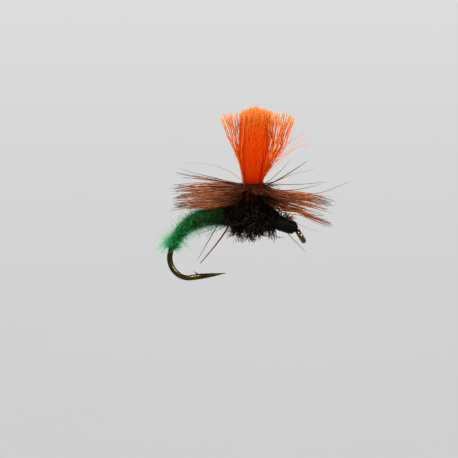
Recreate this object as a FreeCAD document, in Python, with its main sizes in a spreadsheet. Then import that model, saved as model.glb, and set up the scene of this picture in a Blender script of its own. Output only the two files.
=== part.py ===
import FreeCAD, Part
import math
import os

import Sketcher
from FreeCAD import Placement, Rotation, Vector

# Parachute emerger dry fly. All sizes in millimetres.
# Frame: origin at the centre of the hook's eye, +X forward past the eye, +Z up
# along the wing post, +Y to the far side. The hook lies in the XZ plane.

doc = FreeCAD.newDocument("dry_fly")
dims = doc.addObject("Spreadsheet::Sheet", "Dims")

CELLS = [
    # hook: one tapered wire bent as a chain of tangent arcs, eye to point
    ("wire_radius", 0.285),
    ("line_start_x", -0.33),
    ("line_start_z", 0.547),
    ("line_start_angle", 147.16),
    ("neck_radius", 2.893),
    ("neck_sweep", 14.03),
    ("shank_run", 2.105),
    ("shank_front_radius", 11.48),
    ("shank_front_sweep", 16.99),
    ("shank_rear_radius", 10.142),
    ("shank_rear_sweep", 21.08),
    ("bend_upper_radius", 4.745),
    ("bend_upper_sweep", 56.46),
    ("bend_middle_radius", 2.131),
    ("bend_middle_sweep", 38.88),
    ("bend_lower_radius", 1.900),
    ("bend_lower_sweep", 72.79),
    ("point_run", 0.98),
    ("point_taper_length", 2.55),
    ("point_mid_distance", 1.20),
    ("point_mid_radius", 0.195),
    ("point_tip_radius", 0.012),
    ("barb_length", 0.62),
    ("barb_rise", 0.34),
    ("barb_root_length", 0.24),
    ("barb_width", 0.26),
    ("barb_setback", 0.10),
    # eye: ring bent from the same wire, with a short straight land inside it
    ("eye_ring_radius", 0.645),
    ("eye_wire_radius", 0.265),
    ("eye_hole_radius", 0.400),
    ("eye_tilt", 58.8),
    # thread layers on the shank
    ("layer_gap", 0.010),
    ("thread_base_radius", 0.40),
    ("thread_radius", 0.045),
    # abdomen dubbing radii, rear to front
    ("abdomen_radius_tail", 0.46),
    ("abdomen_radius_rear", 0.56),
    ("abdomen_radius_low", 0.74),
    ("abdomen_radius_mid", 0.88),
    ("abdomen_radius_high", 0.95),
    ("abdomen_radius_front", 0.98),
    ("guard_root_radius", 0.022),
    ("guard_tip_radius", 0.008),
    # tied-down yarn under the post
    ("butt_radius", 0.60),
    ("butt_end_radius", 0.47),
    # peacock herl round the thorax
    ("herl_quill_radius", 0.12),
    ("herl_coil_radius", 0.735),
    ("herl_pitch", 0.45),
    ("herl_front_length", 1.35),
    ("herl_rear_length", 1.35),
    ("flue_bore_radius", 0.870),
    ("flue_radius_rear", 1.06),
    ("flue_radius_back", 1.75),
    ("flue_radius_mid", 1.95),
    ("flue_radius_fore", 1.85),
    ("flue_radius_neck", 1.45),
    ("flue_radius_front", 0.92),
    ("flue_lift", 0.10),
    # wing post of yarn
    ("post_x", -4.75),
    ("post_foot_z", 2.62),
    ("post_foot_radius", 0.70),
    ("post_waist_z", 5.04),
    ("post_waist_radius", 0.82),
    ("post_neck_z", 6.24),
    ("post_neck_half_width", 1.13),
    ("post_neck_half_depth", 0.98),
    ("post_low_z", 7.44),
    ("post_low_half_width", 1.65),
    ("post_low_half_depth", 1.28),
    ("post_mid_z", 8.94),
    ("post_mid_half_width", 2.35),
    ("post_mid_half_depth", 1.65),
    ("post_top_z", 11.60),
    ("post_top_half_width", 3.20),
    ("post_top_half_depth", 2.15),
    ("post_crown_z", 12.80),
    ("post_crown_half_width", 2.30),
    ("post_crown_half_depth", 1.50),
    ("fringe_root_radius", 0.035),
    ("fringe_tip_radius", 0.018),
    # thread turns and hackle quill round the post
    ("post_wrap_coil_radius", 0.90),
    ("post_wrap_pitch", 0.12),
    ("post_wrap_height", 1.20),
    ("post_wrap_z", 2.95),
    ("quill_radius", 0.095),
    ("quill_coil_radius", 1.04),
    ("quill_pitch", 0.235),
    ("quill_height", 0.82),
    ("quill_z", 4.42),
    ("quill_butt_length", 1.55),
    ("hackle_reach", 8.25),
    ("barb_root_radius", 0.050),
    ("barb_tip_radius", 0.018),
    # head
    ("head_radius_rear", 0.52),
    ("head_radius_back", 0.655),
    ("head_radius_mid", 0.635),
    ("head_radius_fore", 0.545),
    ("head_radius_front", 0.44),
    ("whip_pitch", 0.095),
    ("tip_tag_length", 1.05),
    ("tip_tag_root_radius", 0.22),
    ("tip_tag_end_radius", 0.30),
]
for row, (alias, value) in enumerate(CELLS, 1):
    dims.set(f"A{row}", alias)
    dims.set(f"B{row}", repr(value))
    dims.setAlias(f"B{row}", alias)
doc.recompute()


def size(alias):
    return float(dims.get(alias))


def bind(obj, prop, expression):
    obj.setExpression(prop, expression)


# --- the line that the wire follows -----------------------------------------

CHAIN = [
    ("arc", "neck_radius", "neck_sweep"),
    ("run", "shank_run", None),
    ("arc", "shank_front_radius", "shank_front_sweep"),
    ("arc", "shank_rear_radius", "shank_rear_sweep"),
    ("arc", "bend_upper_radius", "bend_upper_sweep"),
    ("arc", "bend_middle_radius", "bend_middle_sweep"),
    ("arc", "bend_lower_radius", "bend_lower_sweep"),
    ("run", "point_run", None),
]


def segments():
    """Each segment of the line as (kind, start x, start z, heading, length, radius)."""
    x, z = size("line_start_x"), size("line_start_z")
    heading = math.radians(size("line_start_angle"))
    out = []
    for kind, first, second in CHAIN:
        if kind == "run":
            length = size(first)
            out.append((kind, x, z, heading, length, None))
            x += length * math.cos(heading)
            z += length * math.sin(heading)
        else:
            radius, sweep = size(first), math.radians(size(second))
            length = radius * sweep
            out.append((kind, x, z, heading, length, radius))
            x += radius * (math.sin(heading + sweep) - math.sin(heading))
            z -= radius * (math.cos(heading + sweep) - math.cos(heading))
            heading += sweep
    return out, (x, z, heading)


def station(distance):
    """Point and heading on the line, at a distance along it from its start."""
    segs, last = segments()
    run = 0.0
    for kind, x, z, heading, length, radius in segs:
        if distance <= run + length:
            d = distance - run
            if kind == "run":
                return x + d * math.cos(heading), z + d * math.sin(heading), heading
            turn = d / radius
            return (
                x + radius * (math.sin(heading + turn) - math.sin(heading)),
                z - radius * (math.cos(heading + turn) - math.cos(heading)),
                heading + turn,
            )
        run += length
    return last


def draw_line(sketch):
    """The chain of tangent arcs and runs, each bound to its own cells."""
    segs, last = segments()
    ends = [(s[1], s[2]) for s in segs[1:]] + [(last[0], last[1])]
    ids = []
    for (kind, x, z, heading, length, radius), (ex, ez) in zip(segs, ends):
        if kind == "run":
            ids.append(
                sketch.addGeometry(
                    Part.LineSegment(Vector(x, z, 0), Vector(ex, ez, 0)), False
                )
            )
        else:
            cx = x - radius * math.sin(heading)
            cz = z + radius * math.cos(heading)
            start = heading - math.pi / 2
            circle = Part.Circle(Vector(cx, cz, 0), Vector(0, 0, 1), radius)
            ids.append(
                sketch.addGeometry(
                    Part.ArcOfCircle(circle, start, start + length / radius), False
                )
            )
    con = Sketcher.Constraint
    first = ids[0]
    at = sketch.addConstraint(con("DistanceX", -1, 1, first, 1, segs[0][1]))
    bind(sketch, f"Constraints[{at}]", "Dims.line_start_x")
    at = sketch.addConstraint(con("DistanceY", -1, 1, first, 1, segs[0][2]))
    bind(sketch, f"Constraints[{at}]", "Dims.line_start_z")
    for a, b in zip(ids[:-1], ids[1:]):
        sketch.addConstraint(con("Tangent", a, 2, b, 1))
    for index, (kind, first_alias, second_alias) in zip(ids, CHAIN):
        if kind == "run":
            at = sketch.addConstraint(con("Distance", index, size(first_alias)))
            bind(sketch, f"Constraints[{at}]", f"Dims.{first_alias}")
        else:
            at = sketch.addConstraint(con("Radius", index, size(first_alias)))
            bind(sketch, f"Constraints[{at}]", f"Dims.{first_alias}")
            at = sketch.addConstraint(
                con("Angle", index, math.radians(size(second_alias)))
            )
            bind(sketch, f"Constraints[{at}]", f"Dims.{second_alias} * 1 deg")
    # the straight front of the shank sets the heading of the whole line
    at = sketch.addConstraint(
        con("Angle", -1, 1, ids[1], 1, segs[1][3])
    )
    bind(
        sketch,
        f"Constraints[{at}]",
        "(Dims.line_start_angle + Dims.neck_sweep) * 1 deg",
    )
    return ids


def plane(body, role):
    for feature in body.Origin.OriginFeatures:
        if feature.Role == role:
            return feature
    raise RuntimeError(role)


def side_frame(x, z, heading):
    """Placement whose local Z runs along a heading in the XZ plane."""
    return Placement(
        Vector(x, 0, z),
        Rotation(Vector(0, 0, 1), Vector(math.cos(heading), 0, math.sin(heading))),
    )


SIDE = Rotation(Vector(1, 0, 0), 90)  # sketch x to +X, sketch y to +Z

# --- hook -------------------------------------------------------------------

hook = doc.addObject("PartDesign::Body", "hook")
hook.Label = "hook"
side_plane = plane(hook, "XZ_Plane")

wire_line = hook.newObject("Sketcher::SketchObject", "wire_line")
wire_line.AttachmentSupport = [(side_plane, "")]
wire_line.MapMode = "FlatFace"
draw_line(wire_line)
doc.recompute()

line_x, line_z, line_heading = station(0.0)
wire_section = hook.newObject("Sketcher::SketchObject", "wire_section")
wire_section.AttachmentSupport = [(side_plane, "")]
wire_section.MapMode = "FlatFace"
# in the side plane's own axes: its x is +X, its y is +Z and its normal is -Y
wire_section.AttachmentOffset = Placement(
    Vector(line_x, line_z, 0),
    Rotation(
        Vector(0, 0, 1), Vector(math.cos(line_heading), math.sin(line_heading), 0)
    ),
)
circle = wire_section.addGeometry(
    Part.Circle(Vector(0, 0, 0), Vector(0, 0, 1), size("wire_radius")), False
)
wire_section.addConstraint(Sketcher.Constraint("Coincident", circle, 3, -1, 1))
at = wire_section.addConstraint(
    Sketcher.Constraint("Radius", circle, size("wire_radius"))
)
bind(wire_section, f"Constraints[{at}]", "Dims.wire_radius")
doc.recompute()

wire = hook.newObject("PartDesign::AdditivePipe", "wire")
wire.Profile = (wire_section, [""])
wire.Spine = (wire_line, [f"Edge{i + 1}" for i in range(len(CHAIN))])
wire.Mode = "Standard"
doc.recompute()

# needle point, turned on the end of the wire
end_x, end_z, end_heading = station(1e9)
point_profile = hook.newObject("Sketcher::SketchObject", "point_profile")
point_profile.AttachmentSupport = [(side_plane, "")]
point_profile.MapMode = "FlatFace"
point_profile.AttachmentOffset = Placement(
    Vector(end_x, end_z, 0), Rotation(Vector(0, 0, 1), math.degrees(end_heading))
)
corners = [
    (-0.05, 0.0),
    (-0.05, size("wire_radius")),
    (0.0, size("wire_radius")),
    (size("point_mid_distance"), size("point_mid_radius")),
    (size("point_taper_length"), size("point_tip_radius")),
    (size("point_taper_length"), 0.0),
]
lines = [
    point_profile.addGeometry(
        Part.LineSegment(
            Vector(*corners[i], 0), Vector(*corners[(i + 1) % len(corners)], 0)
        ),
        False,
    )
    for i in range(len(corners))
]
for i in range(len(lines)):
    point_profile.addConstraint(
        Sketcher.Constraint("Coincident", lines[i], 2, lines[(i + 1) % len(lines)], 1)
    )


def pin_corner(sketch, line, x_value, y_value, x_expr=None, y_expr=None):
    at = sketch.addConstraint(
        Sketcher.Constraint("DistanceX", -1, 1, line, 1, x_value)
    )
    if x_expr:
        bind(sketch, f"Constraints[{at}]", x_expr)
    at = sketch.addConstraint(
        Sketcher.Constraint("DistanceY", -1, 1, line, 1, y_value)
    )
    if y_expr:
        bind(sketch, f"Constraints[{at}]", y_expr)


pin_corner(point_profile, lines[0], *corners[0])
pin_corner(point_profile, lines[1], *corners[1], None, "Dims.wire_radius")
pin_corner(point_profile, lines[2], *corners[2], None, "Dims.wire_radius")
pin_corner(
    point_profile,
    lines[3],
    *corners[3],
    "Dims.point_mid_distance",
    "Dims.point_mid_radius",
)
pin_corner(
    point_profile,
    lines[4],
    *corners[4],
    "Dims.point_taper_length",
    "Dims.point_tip_radius",
)
pin_corner(point_profile, lines[5], *corners[5], "Dims.point_taper_length", None)
doc.recompute()

needle = hook.newObject("PartDesign::Revolution", "needle")
needle.Profile = (point_profile, [""])
needle.ReferenceAxis = (point_profile, ["H_Axis"])
needle.Angle = 360.0
doc.recompute()

# barb: a sliver raised from the top of the wire, leaning back to the bend
barb_profile = hook.newObject("Sketcher::SketchObject", "barb_profile")
barb_profile.AttachmentSupport = [(side_plane, "")]
barb_profile.MapMode = "FlatFace"
barb_profile.AttachmentOffset = point_profile.AttachmentOffset
front = -size("barb_setback")
root_y = size("wire_radius") * 0.72
tri = [
    (front, root_y),
    (front - size("barb_length"), size("wire_radius") + size("barb_rise")),
    (front - size("barb_root_length"), root_y),
]
tri_lines = [
    barb_profile.addGeometry(
        Part.LineSegment(Vector(*tri[i], 0), Vector(*tri[(i + 1) % 3], 0)), False
    )
    for i in range(3)
]
for i in range(3):
    barb_profile.addConstraint(
        Sketcher.Constraint("Coincident", tri_lines[i], 2, tri_lines[(i + 1) % 3], 1)
    )
pin_corner(
    barb_profile, tri_lines[0], *tri[0], "-Dims.barb_setback", "Dims.wire_radius * 0.72"
)
pin_corner(
    barb_profile,
    tri_lines[1],
    *tri[1],
    "-Dims.barb_setback - Dims.barb_length",
    "Dims.wire_radius + Dims.barb_rise",
)
pin_corner(
    barb_profile,
    tri_lines[2],
    *tri[2],
    "-Dims.barb_setback - Dims.barb_root_length",
    "Dims.wire_radius * 0.72",
)
doc.recompute()
barb = hook.newObject("PartDesign::Pad", "barb")
barb.Profile = (barb_profile, [""])
barb.Length = size("barb_width")
bind(barb, "Length", "Dims.barb_width * 1 mm")
barb.Midplane = True
doc.recompute()

# eye ring: its plane holds the Y axis and leans back, so its axis points down and back
EYE_AXIS = Vector(
    -math.sin(math.radians(size("eye_tilt"))),
    0,
    -math.cos(math.radians(size("eye_tilt"))),
)
eye_profile = hook.newObject("Sketcher::SketchObject", "eye_profile")
eye_profile.AttachmentSupport = [(side_plane, "")]
eye_profile.MapMode = "FlatFace"
# sketch y along the ring's axis, sketch x across it
eye_profile.AttachmentOffset = Placement(
    Vector(0, 0, 0),
    Rotation(
        Vector(0, 0, 1),
        math.degrees(math.atan2(EYE_AXIS.z, EYE_AXIS.x)) - 90.0,
    ),
)
ring = eye_profile.addGeometry(
    Part.Circle(
        Vector(size("eye_ring_radius"), 0, 0), Vector(0, 0, 1), size("eye_wire_radius")
    ),
    False,
)
at = eye_profile.addConstraint(
    Sketcher.Constraint("Radius", ring, size("eye_wire_radius"))
)
bind(eye_profile, f"Constraints[{at}]", "Dims.eye_wire_radius")
at = eye_profile.addConstraint(
    Sketcher.Constraint("DistanceX", -1, 1, ring, 3, size("eye_ring_radius"))
)
bind(eye_profile, f"Constraints[{at}]", "Dims.eye_ring_radius")
eye_profile.addConstraint(Sketcher.Constraint("PointOnObject", ring, 3, -1))
doc.recompute()
eye_ring = hook.newObject("PartDesign::Revolution", "eye_ring")
eye_ring.Profile = (eye_profile, [""])
eye_ring.ReferenceAxis = (eye_profile, ["V_Axis"])
eye_ring.Angle = 360.0
doc.recompute()

# land: the straight wall that a leader rubs smooth inside the eye
land_profile = hook.newObject("Sketcher::SketchObject", "land_profile")
land_profile.AttachmentSupport = [(side_plane, "")]
land_profile.MapMode = "FlatFace"
land_profile.AttachmentOffset = Placement(
    Vector(0, 0, 0),
    Rotation(Vector(0, 0, 1), Vector(EYE_AXIS.x, EYE_AXIS.z, 0)),
)
land = land_profile.addGeometry(
    Part.Circle(Vector(0, 0, 0), Vector(0, 0, 1), size("eye_hole_radius")), False
)
land_profile.addConstraint(Sketcher.Constraint("Coincident", land, 3, -1, 1))
at = land_profile.addConstraint(
    Sketcher.Constraint("Radius", land, size("eye_hole_radius"))
)
bind(land_profile, f"Constraints[{at}]", "Dims.eye_hole_radius")
doc.recompute()
eye_land = hook.newObject("PartDesign::Pocket", "eye_land")
eye_land.Profile = (land_profile, [""])
eye_land.Type = "Length"
eye_land.Length = 1.0
eye_land.Midplane = True
doc.recompute()
hook.Tip = eye_land

# --- the same line, free of any body, for what is wound on the shank ---------

shank_line = doc.addObject("Sketcher::SketchObject", "shank_line")
shank_line.Placement = Placement(Vector(0, 0, 0), SIDE)
draw_line(shank_line)
doc.recompute()

made = []  # every finished sub-part


def finish(obj, label):
    obj.Label = label
    made.append(obj)
    return obj


finish(hook, "hook")


def ring_section(name, distance, alias, lift=0.0):
    """A circle square to the line, at a distance along it, lifted off its centre."""
    x, z, heading = station(distance)
    section = doc.addObject("Part::Circle", name)
    section.Radius = size(alias)
    bind(section, "Radius", f"Dims.{alias} * 1 mm")
    section.Placement = side_frame(
        x + lift * math.sin(heading), z - lift * math.cos(heading), heading
    )
    return section


def core_tool(name, expression, first, last):
    """A rod along the line, from one of its segments to another."""
    x, z, heading = station(0.0)
    section = doc.addObject("Part::Circle", name + "_section")
    bind(section, "Radius", f"({expression}) * 1 mm")
    run = 0.0
    for s in segments()[0][: first - 1]:
        run += s[4]
    x, z, heading = station(run + 1e-9)
    section.Placement = side_frame(x, z, heading)
    tool = doc.addObject("Part::Sweep", name)
    tool.Sections = [section]
    tool.Spine = (shank_line, [f"Edge{i}" for i in range(first, last + 1)])
    tool.Solid = True
    tool.Frenet = False
    return tool


def sleeve(label, sections, tools):
    """A skin lofted through sections, less what it is wound on."""
    skin = doc.addObject("Part::Loft", label + "_skin")
    skin.Sections = sections
    skin.Solid = True
    skin.Ruled = False
    doc.recompute()
    last = skin
    for i, tool in enumerate(tools):
        cut = doc.addObject("Part::Cut", f"{label}_cut{i}")
        cut.Base = last
        cut.Tool = tool
        doc.recompute()
        last = cut
    return finish(last, label)


# --- thread base: one layer of thread over the shank --------------------------

base_sections = [
    ring_section(f"base_ring{i}", d, "thread_base_radius")
    for i, d in enumerate((0.55, 1.6, 2.8, 4.4, 6.2, 8.0, 9.9, 11.4, 12.9))
]
wire_tool = core_tool("wire_tool", "Dims.wire_radius + Dims.layer_gap", 1, 6)
sleeve("thread_base", base_sections, [wire_tool])

# --- yarn butts bound down along the shank under the post ----------------------

butt_sections = [
    ring_section("butt_ring0", 4.15, "butt_end_radius"),
    ring_section("butt_ring1", 4.55, "butt_radius"),
    ring_section("butt_ring2", 5.35, "butt_radius"),
    ring_section("butt_ring3", 5.75, "butt_end_radius"),
]
base_tool = core_tool("base_tool", "Dims.thread_base_radius + Dims.layer_gap", 1, 6)
sleeve("yarn_butts", butt_sections, [base_tool])

# --- abdomen of wound dubbing -------------------------------------------------

ABDOMEN = [
    (13.90, "abdomen_radius_tail"),
    (12.85, "abdomen_radius_rear"),
    (11.85, "abdomen_radius_low"),
    (10.75, "abdomen_radius_mid"),
    (9.45, "abdomen_radius_high"),
    (8.35, "abdomen_radius_front"),
    (7.45, "abdomen_radius_front"),
]
abdomen_sections = [
    ring_section(f"abdomen_ring{i}", d, alias) for i, (d, alias) in enumerate(ABDOMEN)
]
abdomen_tool = core_tool(
    "abdomen_tool", "Dims.thread_base_radius + Dims.layer_gap", 1, 6
)
sleeve("abdomen_dubbing", abdomen_sections, [abdomen_tool])

# --- wing post, as one bundle of yarn ------------------------------------------


def oval(name, z_alias, width_alias, depth_alias, shift=0.0):
    section = doc.addObject("Part::Ellipse", name)
    # the long axis first, because an ellipse's major radius can't be the smaller
    bind(section, "MajorRadius", f"Dims.{width_alias} * 1 mm")
    section.MajorRadius = size(width_alias)
    section.MinorRadius = size(depth_alias)
    bind(section, "MinorRadius", f"Dims.{depth_alias} * 1 mm")
    section.Placement = Placement(
        Vector(size("post_x") + shift, 0, size(z_alias)), Rotation()
    )
    bind(section, ".Placement.Base.z", f"Dims.{z_alias} * 1 mm")
    return section


POST_SHIFT = {
    "neck": 0.0,
    "low": 0.18,
    "mid": 0.40,
    "top": 0.42,
    "crown": 0.30,
}
post_sections = [
    oval("post_foot", "post_foot_z", "post_foot_radius", "post_foot_radius"),
    oval("post_waist", "post_waist_z", "post_waist_radius", "post_waist_radius"),
    oval("post_neck", "post_neck_z", "post_neck_half_width", "post_neck_half_depth"),
    oval(
        "post_low",
        "post_low_z",
        "post_low_half_width",
        "post_low_half_depth",
        POST_SHIFT["low"],
    ),
    oval(
        "post_mid",
        "post_mid_z",
        "post_mid_half_width",
        "post_mid_half_depth",
        POST_SHIFT["mid"],
    ),
    oval(
        "post_top",
        "post_top_z",
        "post_top_half_width",
        "post_top_half_depth",
        POST_SHIFT["top"],
    ),
    oval(
        "post_crown",
        "post_crown_z",
        "post_crown_half_width",
        "post_crown_half_depth",
        POST_SHIFT["crown"],
    ),
]
post_bundle = doc.addObject("Part::Loft", "post_bundle")
post_bundle.Sections = post_sections
post_bundle.Solid = True
doc.recompute()

butt_clear = core_tool("butt_clear", "Dims.butt_radius + Dims.layer_gap", 1, 5)
wing_post = doc.addObject("Part::Cut", "wing_post")
wing_post.Base = post_bundle
wing_post.Tool = butt_clear
doc.recompute()
finish(wing_post, "wing_post")


def frac(value):
    return value - math.floor(value)


def scatter(index, salt):
    """A fixed, even spread of numbers from 0 to 1."""
    return frac(index * 0.61803398875 + salt * 0.7548776662)


def fibre(name, root, tip, root_alias, tip_alias):
    """One slender tapered fibre from root to tip, a little flatter than it is wide."""
    root, tip = Vector(*root), Vector(*tip)
    along = tip.sub(root)
    sliver = doc.addObject("Part::Wedge", name)
    for prop, sign, alias, share in (
        ("Xmin", -1, root_alias, 1.0),
        ("Xmax", 1, root_alias, 1.0),
        ("Zmin", -1, root_alias, 0.7),
        ("Zmax", 1, root_alias, 0.7),
        ("X2min", -1, tip_alias, 1.0),
        ("X2max", 1, tip_alias, 1.0),
        ("Z2min", -1, tip_alias, 0.7),
        ("Z2max", 1, tip_alias, 0.7),
    ):
        setattr(sliver, prop, sign * share * size(alias))
        bind(sliver, prop, f"{sign * share} * Dims.{alias} * 1 mm")
    sliver.Ymin = 0
    sliver.Ymax = along.Length
    sliver.Placement = Placement(root, Rotation(Vector(0, 1, 0), along))
    return sliver


def tuft(label, cones):
    group = doc.addObject("Part::Compound", label)
    group.Links = cones
    return finish(group, label)


# --- loose yarn filaments that fan out of the post ------------------------------

fringe = []
for i in range(26):
    around = 2 * math.pi * (i + 0.5 * scatter(i, 1)) / 26
    c, s = math.cos(around), math.sin(around)
    start_z = size("post_neck_z") + 0.25 * scatter(i, 2)
    start = (
        size("post_x") + c * (size("post_neck_half_width") + 0.13),
        s * (size("post_neck_half_depth") + 0.11),
        start_z,
    )
    top_z = 11.1 + 0.95 * scatter(i, 3)
    stop = (
        size("post_x") + 0.36 + c * (3.62 + 0.30 * scatter(i, 4)),
        s * (2.42 + 0.25 * scatter(i, 5)),
        top_z,
    )
    fringe.append(
        fibre(f"fringe{i}", start, stop, "fringe_root_radius", "fringe_tip_radius")
    )
# three filaments that stand well out at the front
for i, (start, stop) in enumerate(
    (
        ((-2.60, 0.15, 7.75), (0.86, 0.55, 10.28)),
        ((-2.20, -0.25, 7.85), (1.00, -0.60, 9.18)),
        ((-1.15, 0.30, 9.60), (-0.72, 0.50, 11.55)),
    )
):
    fringe.append(
        fibre(f"fringe_out{i}", start, stop, "fringe_root_radius", "fringe_tip_radius")
    )
tuft("wing_fringe", fringe)


# --- coils: thread up the post, hackle quill, herl quills ------------------------


def coil(label, radius_alias, pitch_alias, height_alias, wire_alias, placement):
    """A round strand wound as a helix about its own local Z."""
    radius, pitch = size(radius_alias), size(pitch_alias)
    helix = doc.addObject("Part::Helix", label + "_line")
    bind(helix, "Radius", f"Dims.{radius_alias} * 1 mm")
    bind(helix, "Pitch", f"Dims.{pitch_alias} * 1 mm")
    bind(helix, "Height", f"Dims.{height_alias} * 1 mm")
    helix.Angle = 0
    section = doc.addObject("Part::Circle", label + "_section")
    bind(section, "Radius", f"Dims.{wire_alias} * 1 mm")
    rise = math.atan2(pitch, 2 * math.pi * radius)
    section.Placement = Placement(
        Vector(radius, 0, 0),
        Rotation(Vector(0, 0, 1), Vector(0, math.cos(rise), math.sin(rise))),
    )
    doc.recompute()
    strand = doc.addObject("Part::Sweep", label)
    strand.Sections = [section]
    strand.Spine = (helix, [f"Edge{i + 1}" for i in range(len(helix.Shape.Edges))])
    strand.Solid = True
    strand.Frenet = True
    strand.Placement = placement
    doc.recompute()
    return finish(strand, label)


coil(
    "post_wraps",
    "post_wrap_coil_radius",
    "post_wrap_pitch",
    "post_wrap_height",
    "thread_radius",
    Placement(Vector(size("post_x"), 0, size("post_wrap_z")), Rotation()),
)
coil(
    "hackle_quill",
    "quill_coil_radius",
    "quill_pitch",
    "quill_height",
    "quill_radius",
    Placement(
        Vector(size("post_x"), 0, size("quill_z")), Rotation(Vector(0, 0, 1), 200)
    ),
)
rear_x, rear_z, rear_heading = station(5.85)
coil(
    "herl_quill_rear",
    "herl_coil_radius",
    "herl_pitch",
    "herl_rear_length",
    "herl_quill_radius",
    side_frame(rear_x, rear_z, station(6.55)[2]),
)
front_x, front_z, front_heading = station(2.45)
coil(
    "herl_quill_front",
    "herl_coil_radius",
    "herl_pitch",
    "herl_front_length",
    "herl_quill_radius",
    side_frame(front_x, front_z, station(3.1)[2]),
)

# --- stripped butt of the hackle quill, bound along the shank --------------------

butt_x, butt_z, butt_heading = station(2.35)
quill_butt = doc.addObject("Part::Cylinder", "quill_butt")
bind(quill_butt, "Radius", "Dims.quill_radius * 1 mm")
bind(quill_butt, "Height", "Dims.quill_butt_length * 1 mm")
off = size("thread_base_radius") + size("quill_radius") + 0.02
quill_butt.Placement = Placement(
    Vector(
        butt_x + off * math.sin(butt_heading),
        0.0,
        butt_z - off * math.cos(butt_heading),
    ),
    Rotation(Vector(0, 0, 1), Vector(math.cos(butt_heading), 0, math.sin(butt_heading))),
)
finish(quill_butt, "hackle_butt")

# --- herl flue: the fuzzy sleeve of barbules over the herl quills -----------------

FLUE = [
    (7.60, "flue_radius_rear"),
    (6.85, "flue_radius_back"),
    (5.40, "flue_radius_mid"),
    (3.90, "flue_radius_fore"),
    (2.60, "flue_radius_neck"),
    (1.65, "flue_radius_front"),
]
flue_sections = [
    ring_section(
        f"flue_ring{i}", d, alias, size("flue_lift") if 0 < i < len(FLUE) - 1 else 0.0
    )
    for i, (d, alias) in enumerate(FLUE)
]
flue_tool = core_tool("flue_tool", "Dims.flue_bore_radius", 1, 5)
post_clear = doc.addObject("Part::Cylinder", "post_clear")
bind(
    post_clear,
    "Radius",
    "(Dims.post_wrap_coil_radius + Dims.thread_radius + Dims.layer_gap) * 1 mm",
)
post_clear.Height = 4.0
post_clear.Placement = Placement(Vector(size("post_x"), 0, 2.0), Rotation())
sleeve("herl_flue", flue_sections, [flue_tool, post_clear])

# --- hackle barbs: one fibre for each, in four sides of the umbrella --------------

AXIS_X = size("post_x")


def barb_from(name, azimuth, elevation, reach, root_z):
    a, e = math.radians(azimuth), math.radians(elevation)
    root_r = size("quill_coil_radius") + size("quill_radius") * 0.6
    root = (AXIS_X + root_r * math.cos(a), root_r * math.sin(a), root_z)
    length = reach - root_r * math.cos(e)
    tip = (
        root[0] + length * math.cos(e) * math.cos(a),
        root[1] + length * math.cos(e) * math.sin(a),
        root_z + length * math.sin(e),
    )
    return fibre(name, root, tip, "barb_root_radius", "barb_tip_radius")


SIDES = (
    ("hackle_barbs_front", 0.0, 27.0, -27.0),
    ("hackle_barbs_far", 90.0, 12.0, -26.0),
    ("hackle_barbs_rear", 180.0, 15.0, -15.0),
    ("hackle_barbs_near", 270.0, 8.0, -30.0),
)
PER_SIDE = 14
for side_index, (label, middle, high, low) in enumerate(SIDES):
    cones = []
    for i in range(PER_SIDE):
        k = side_index * PER_SIDE + i
        azimuth = middle + 90.0 * ((i + 0.5) / PER_SIDE - 0.5)
        elevation = low + (high - low) * scatter(k, 6)
        reach = size("hackle_reach") * (0.90 + 0.10 * scatter(k, 7))
        root_z = size("quill_z") + 0.05 + 0.75 * scatter(k, 8)
        cones.append(barb_from(f"{label}{i}", azimuth, elevation, reach, root_z))
    tuft(label, cones)

# a few barbs that stand apart: up and forward, down past the hook, down past the eye
strays = []
for i, (root, tip) in enumerate(
    (
        ((-3.75, 0.45, 5.10), (-0.97, 0.90, 7.58)),
        ((-3.72, -0.40, 5.00), (0.64, -0.95, 7.38)),
        ((-3.70, 0.20, 4.85), (4.92, 0.60, 5.30)),
        ((-5.80, 0.30, 5.10), (-11.75, 0.70, 7.31)),
        ((-5.60, 1.00, 4.60), (-10.07, 3.20, -3.08)),
        ((-5.55, 1.05, 4.70), (-10.36, 3.55, -2.80)),
        ((-4.05, 1.00, 4.60), (0.64, 3.10, -1.88)),
        ((-4.00, 1.00, 4.60), (1.84, 2.60, 0.21)),
    )
):
    strays.append(
        fibre(f"stray{i}", root, tip, "barb_root_radius", "barb_tip_radius")
    )
tuft("hackle_barbs_stray", strays)

# --- loose dubbing fibres along the abdomen and at its tail ------------------------

guards = []
for i in range(26):
    distance = 7.9 + 5.4 * (i + 0.5) / 26
    x, z, heading = station(distance)
    radius = 0.93 - 0.45 * max(0.0, (distance - 9.4) / 4.1)
    turn = 2 * math.pi * scatter(i, 9)
    # across the line: up in the side plane, and along Y
    ux, uz = math.sin(heading) * -1, math.cos(heading)
    cx, sy = math.cos(turn), math.sin(turn)
    out = Vector(ux * cx, sy, uz * cx)
    back = Vector(math.cos(heading), 0, math.sin(heading))
    root = Vector(x, 0, z) + out * radius
    length = 0.7 + 0.9 * scatter(i, 10)
    lean = 0.35 + 0.5 * scatter(i, 11)
    tip = root + (out * (1 - lean) + back * lean).normalize() * length
    guards.append(
        fibre(
            f"guard{i}",
            (root.x, root.y, root.z),
            (tip.x, tip.y, tip.z),
            "guard_root_radius",
            "guard_tip_radius",
        )
    )
for i, (root, tip) in enumerate(
    (
        ((-13.42, 0.02, -0.95), (-14.85, 0.25, -1.45)),
        ((-13.38, -0.12, -1.00), (-14.78, -0.40, -2.15)),
        ((-13.45, 0.10, -0.80), (-14.62, 0.55, -0.60)),
        ((-13.30, -0.05, -0.60), (-14.20, -0.20, 0.35)),
        ((-13.40, 0.15, -1.10), (-14.30, 0.30, -2.30)),
        ((-13.25, -0.15, -0.45), (-13.90, -0.55, 0.75)),
    )
):
    guards.append(
        fibre(f"tail{i}", root, tip, "guard_root_radius", "guard_tip_radius")
    )
tuft("dubbing_fibres", guards)

# --- head of thread turns -----------------------------------------------------------

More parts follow.
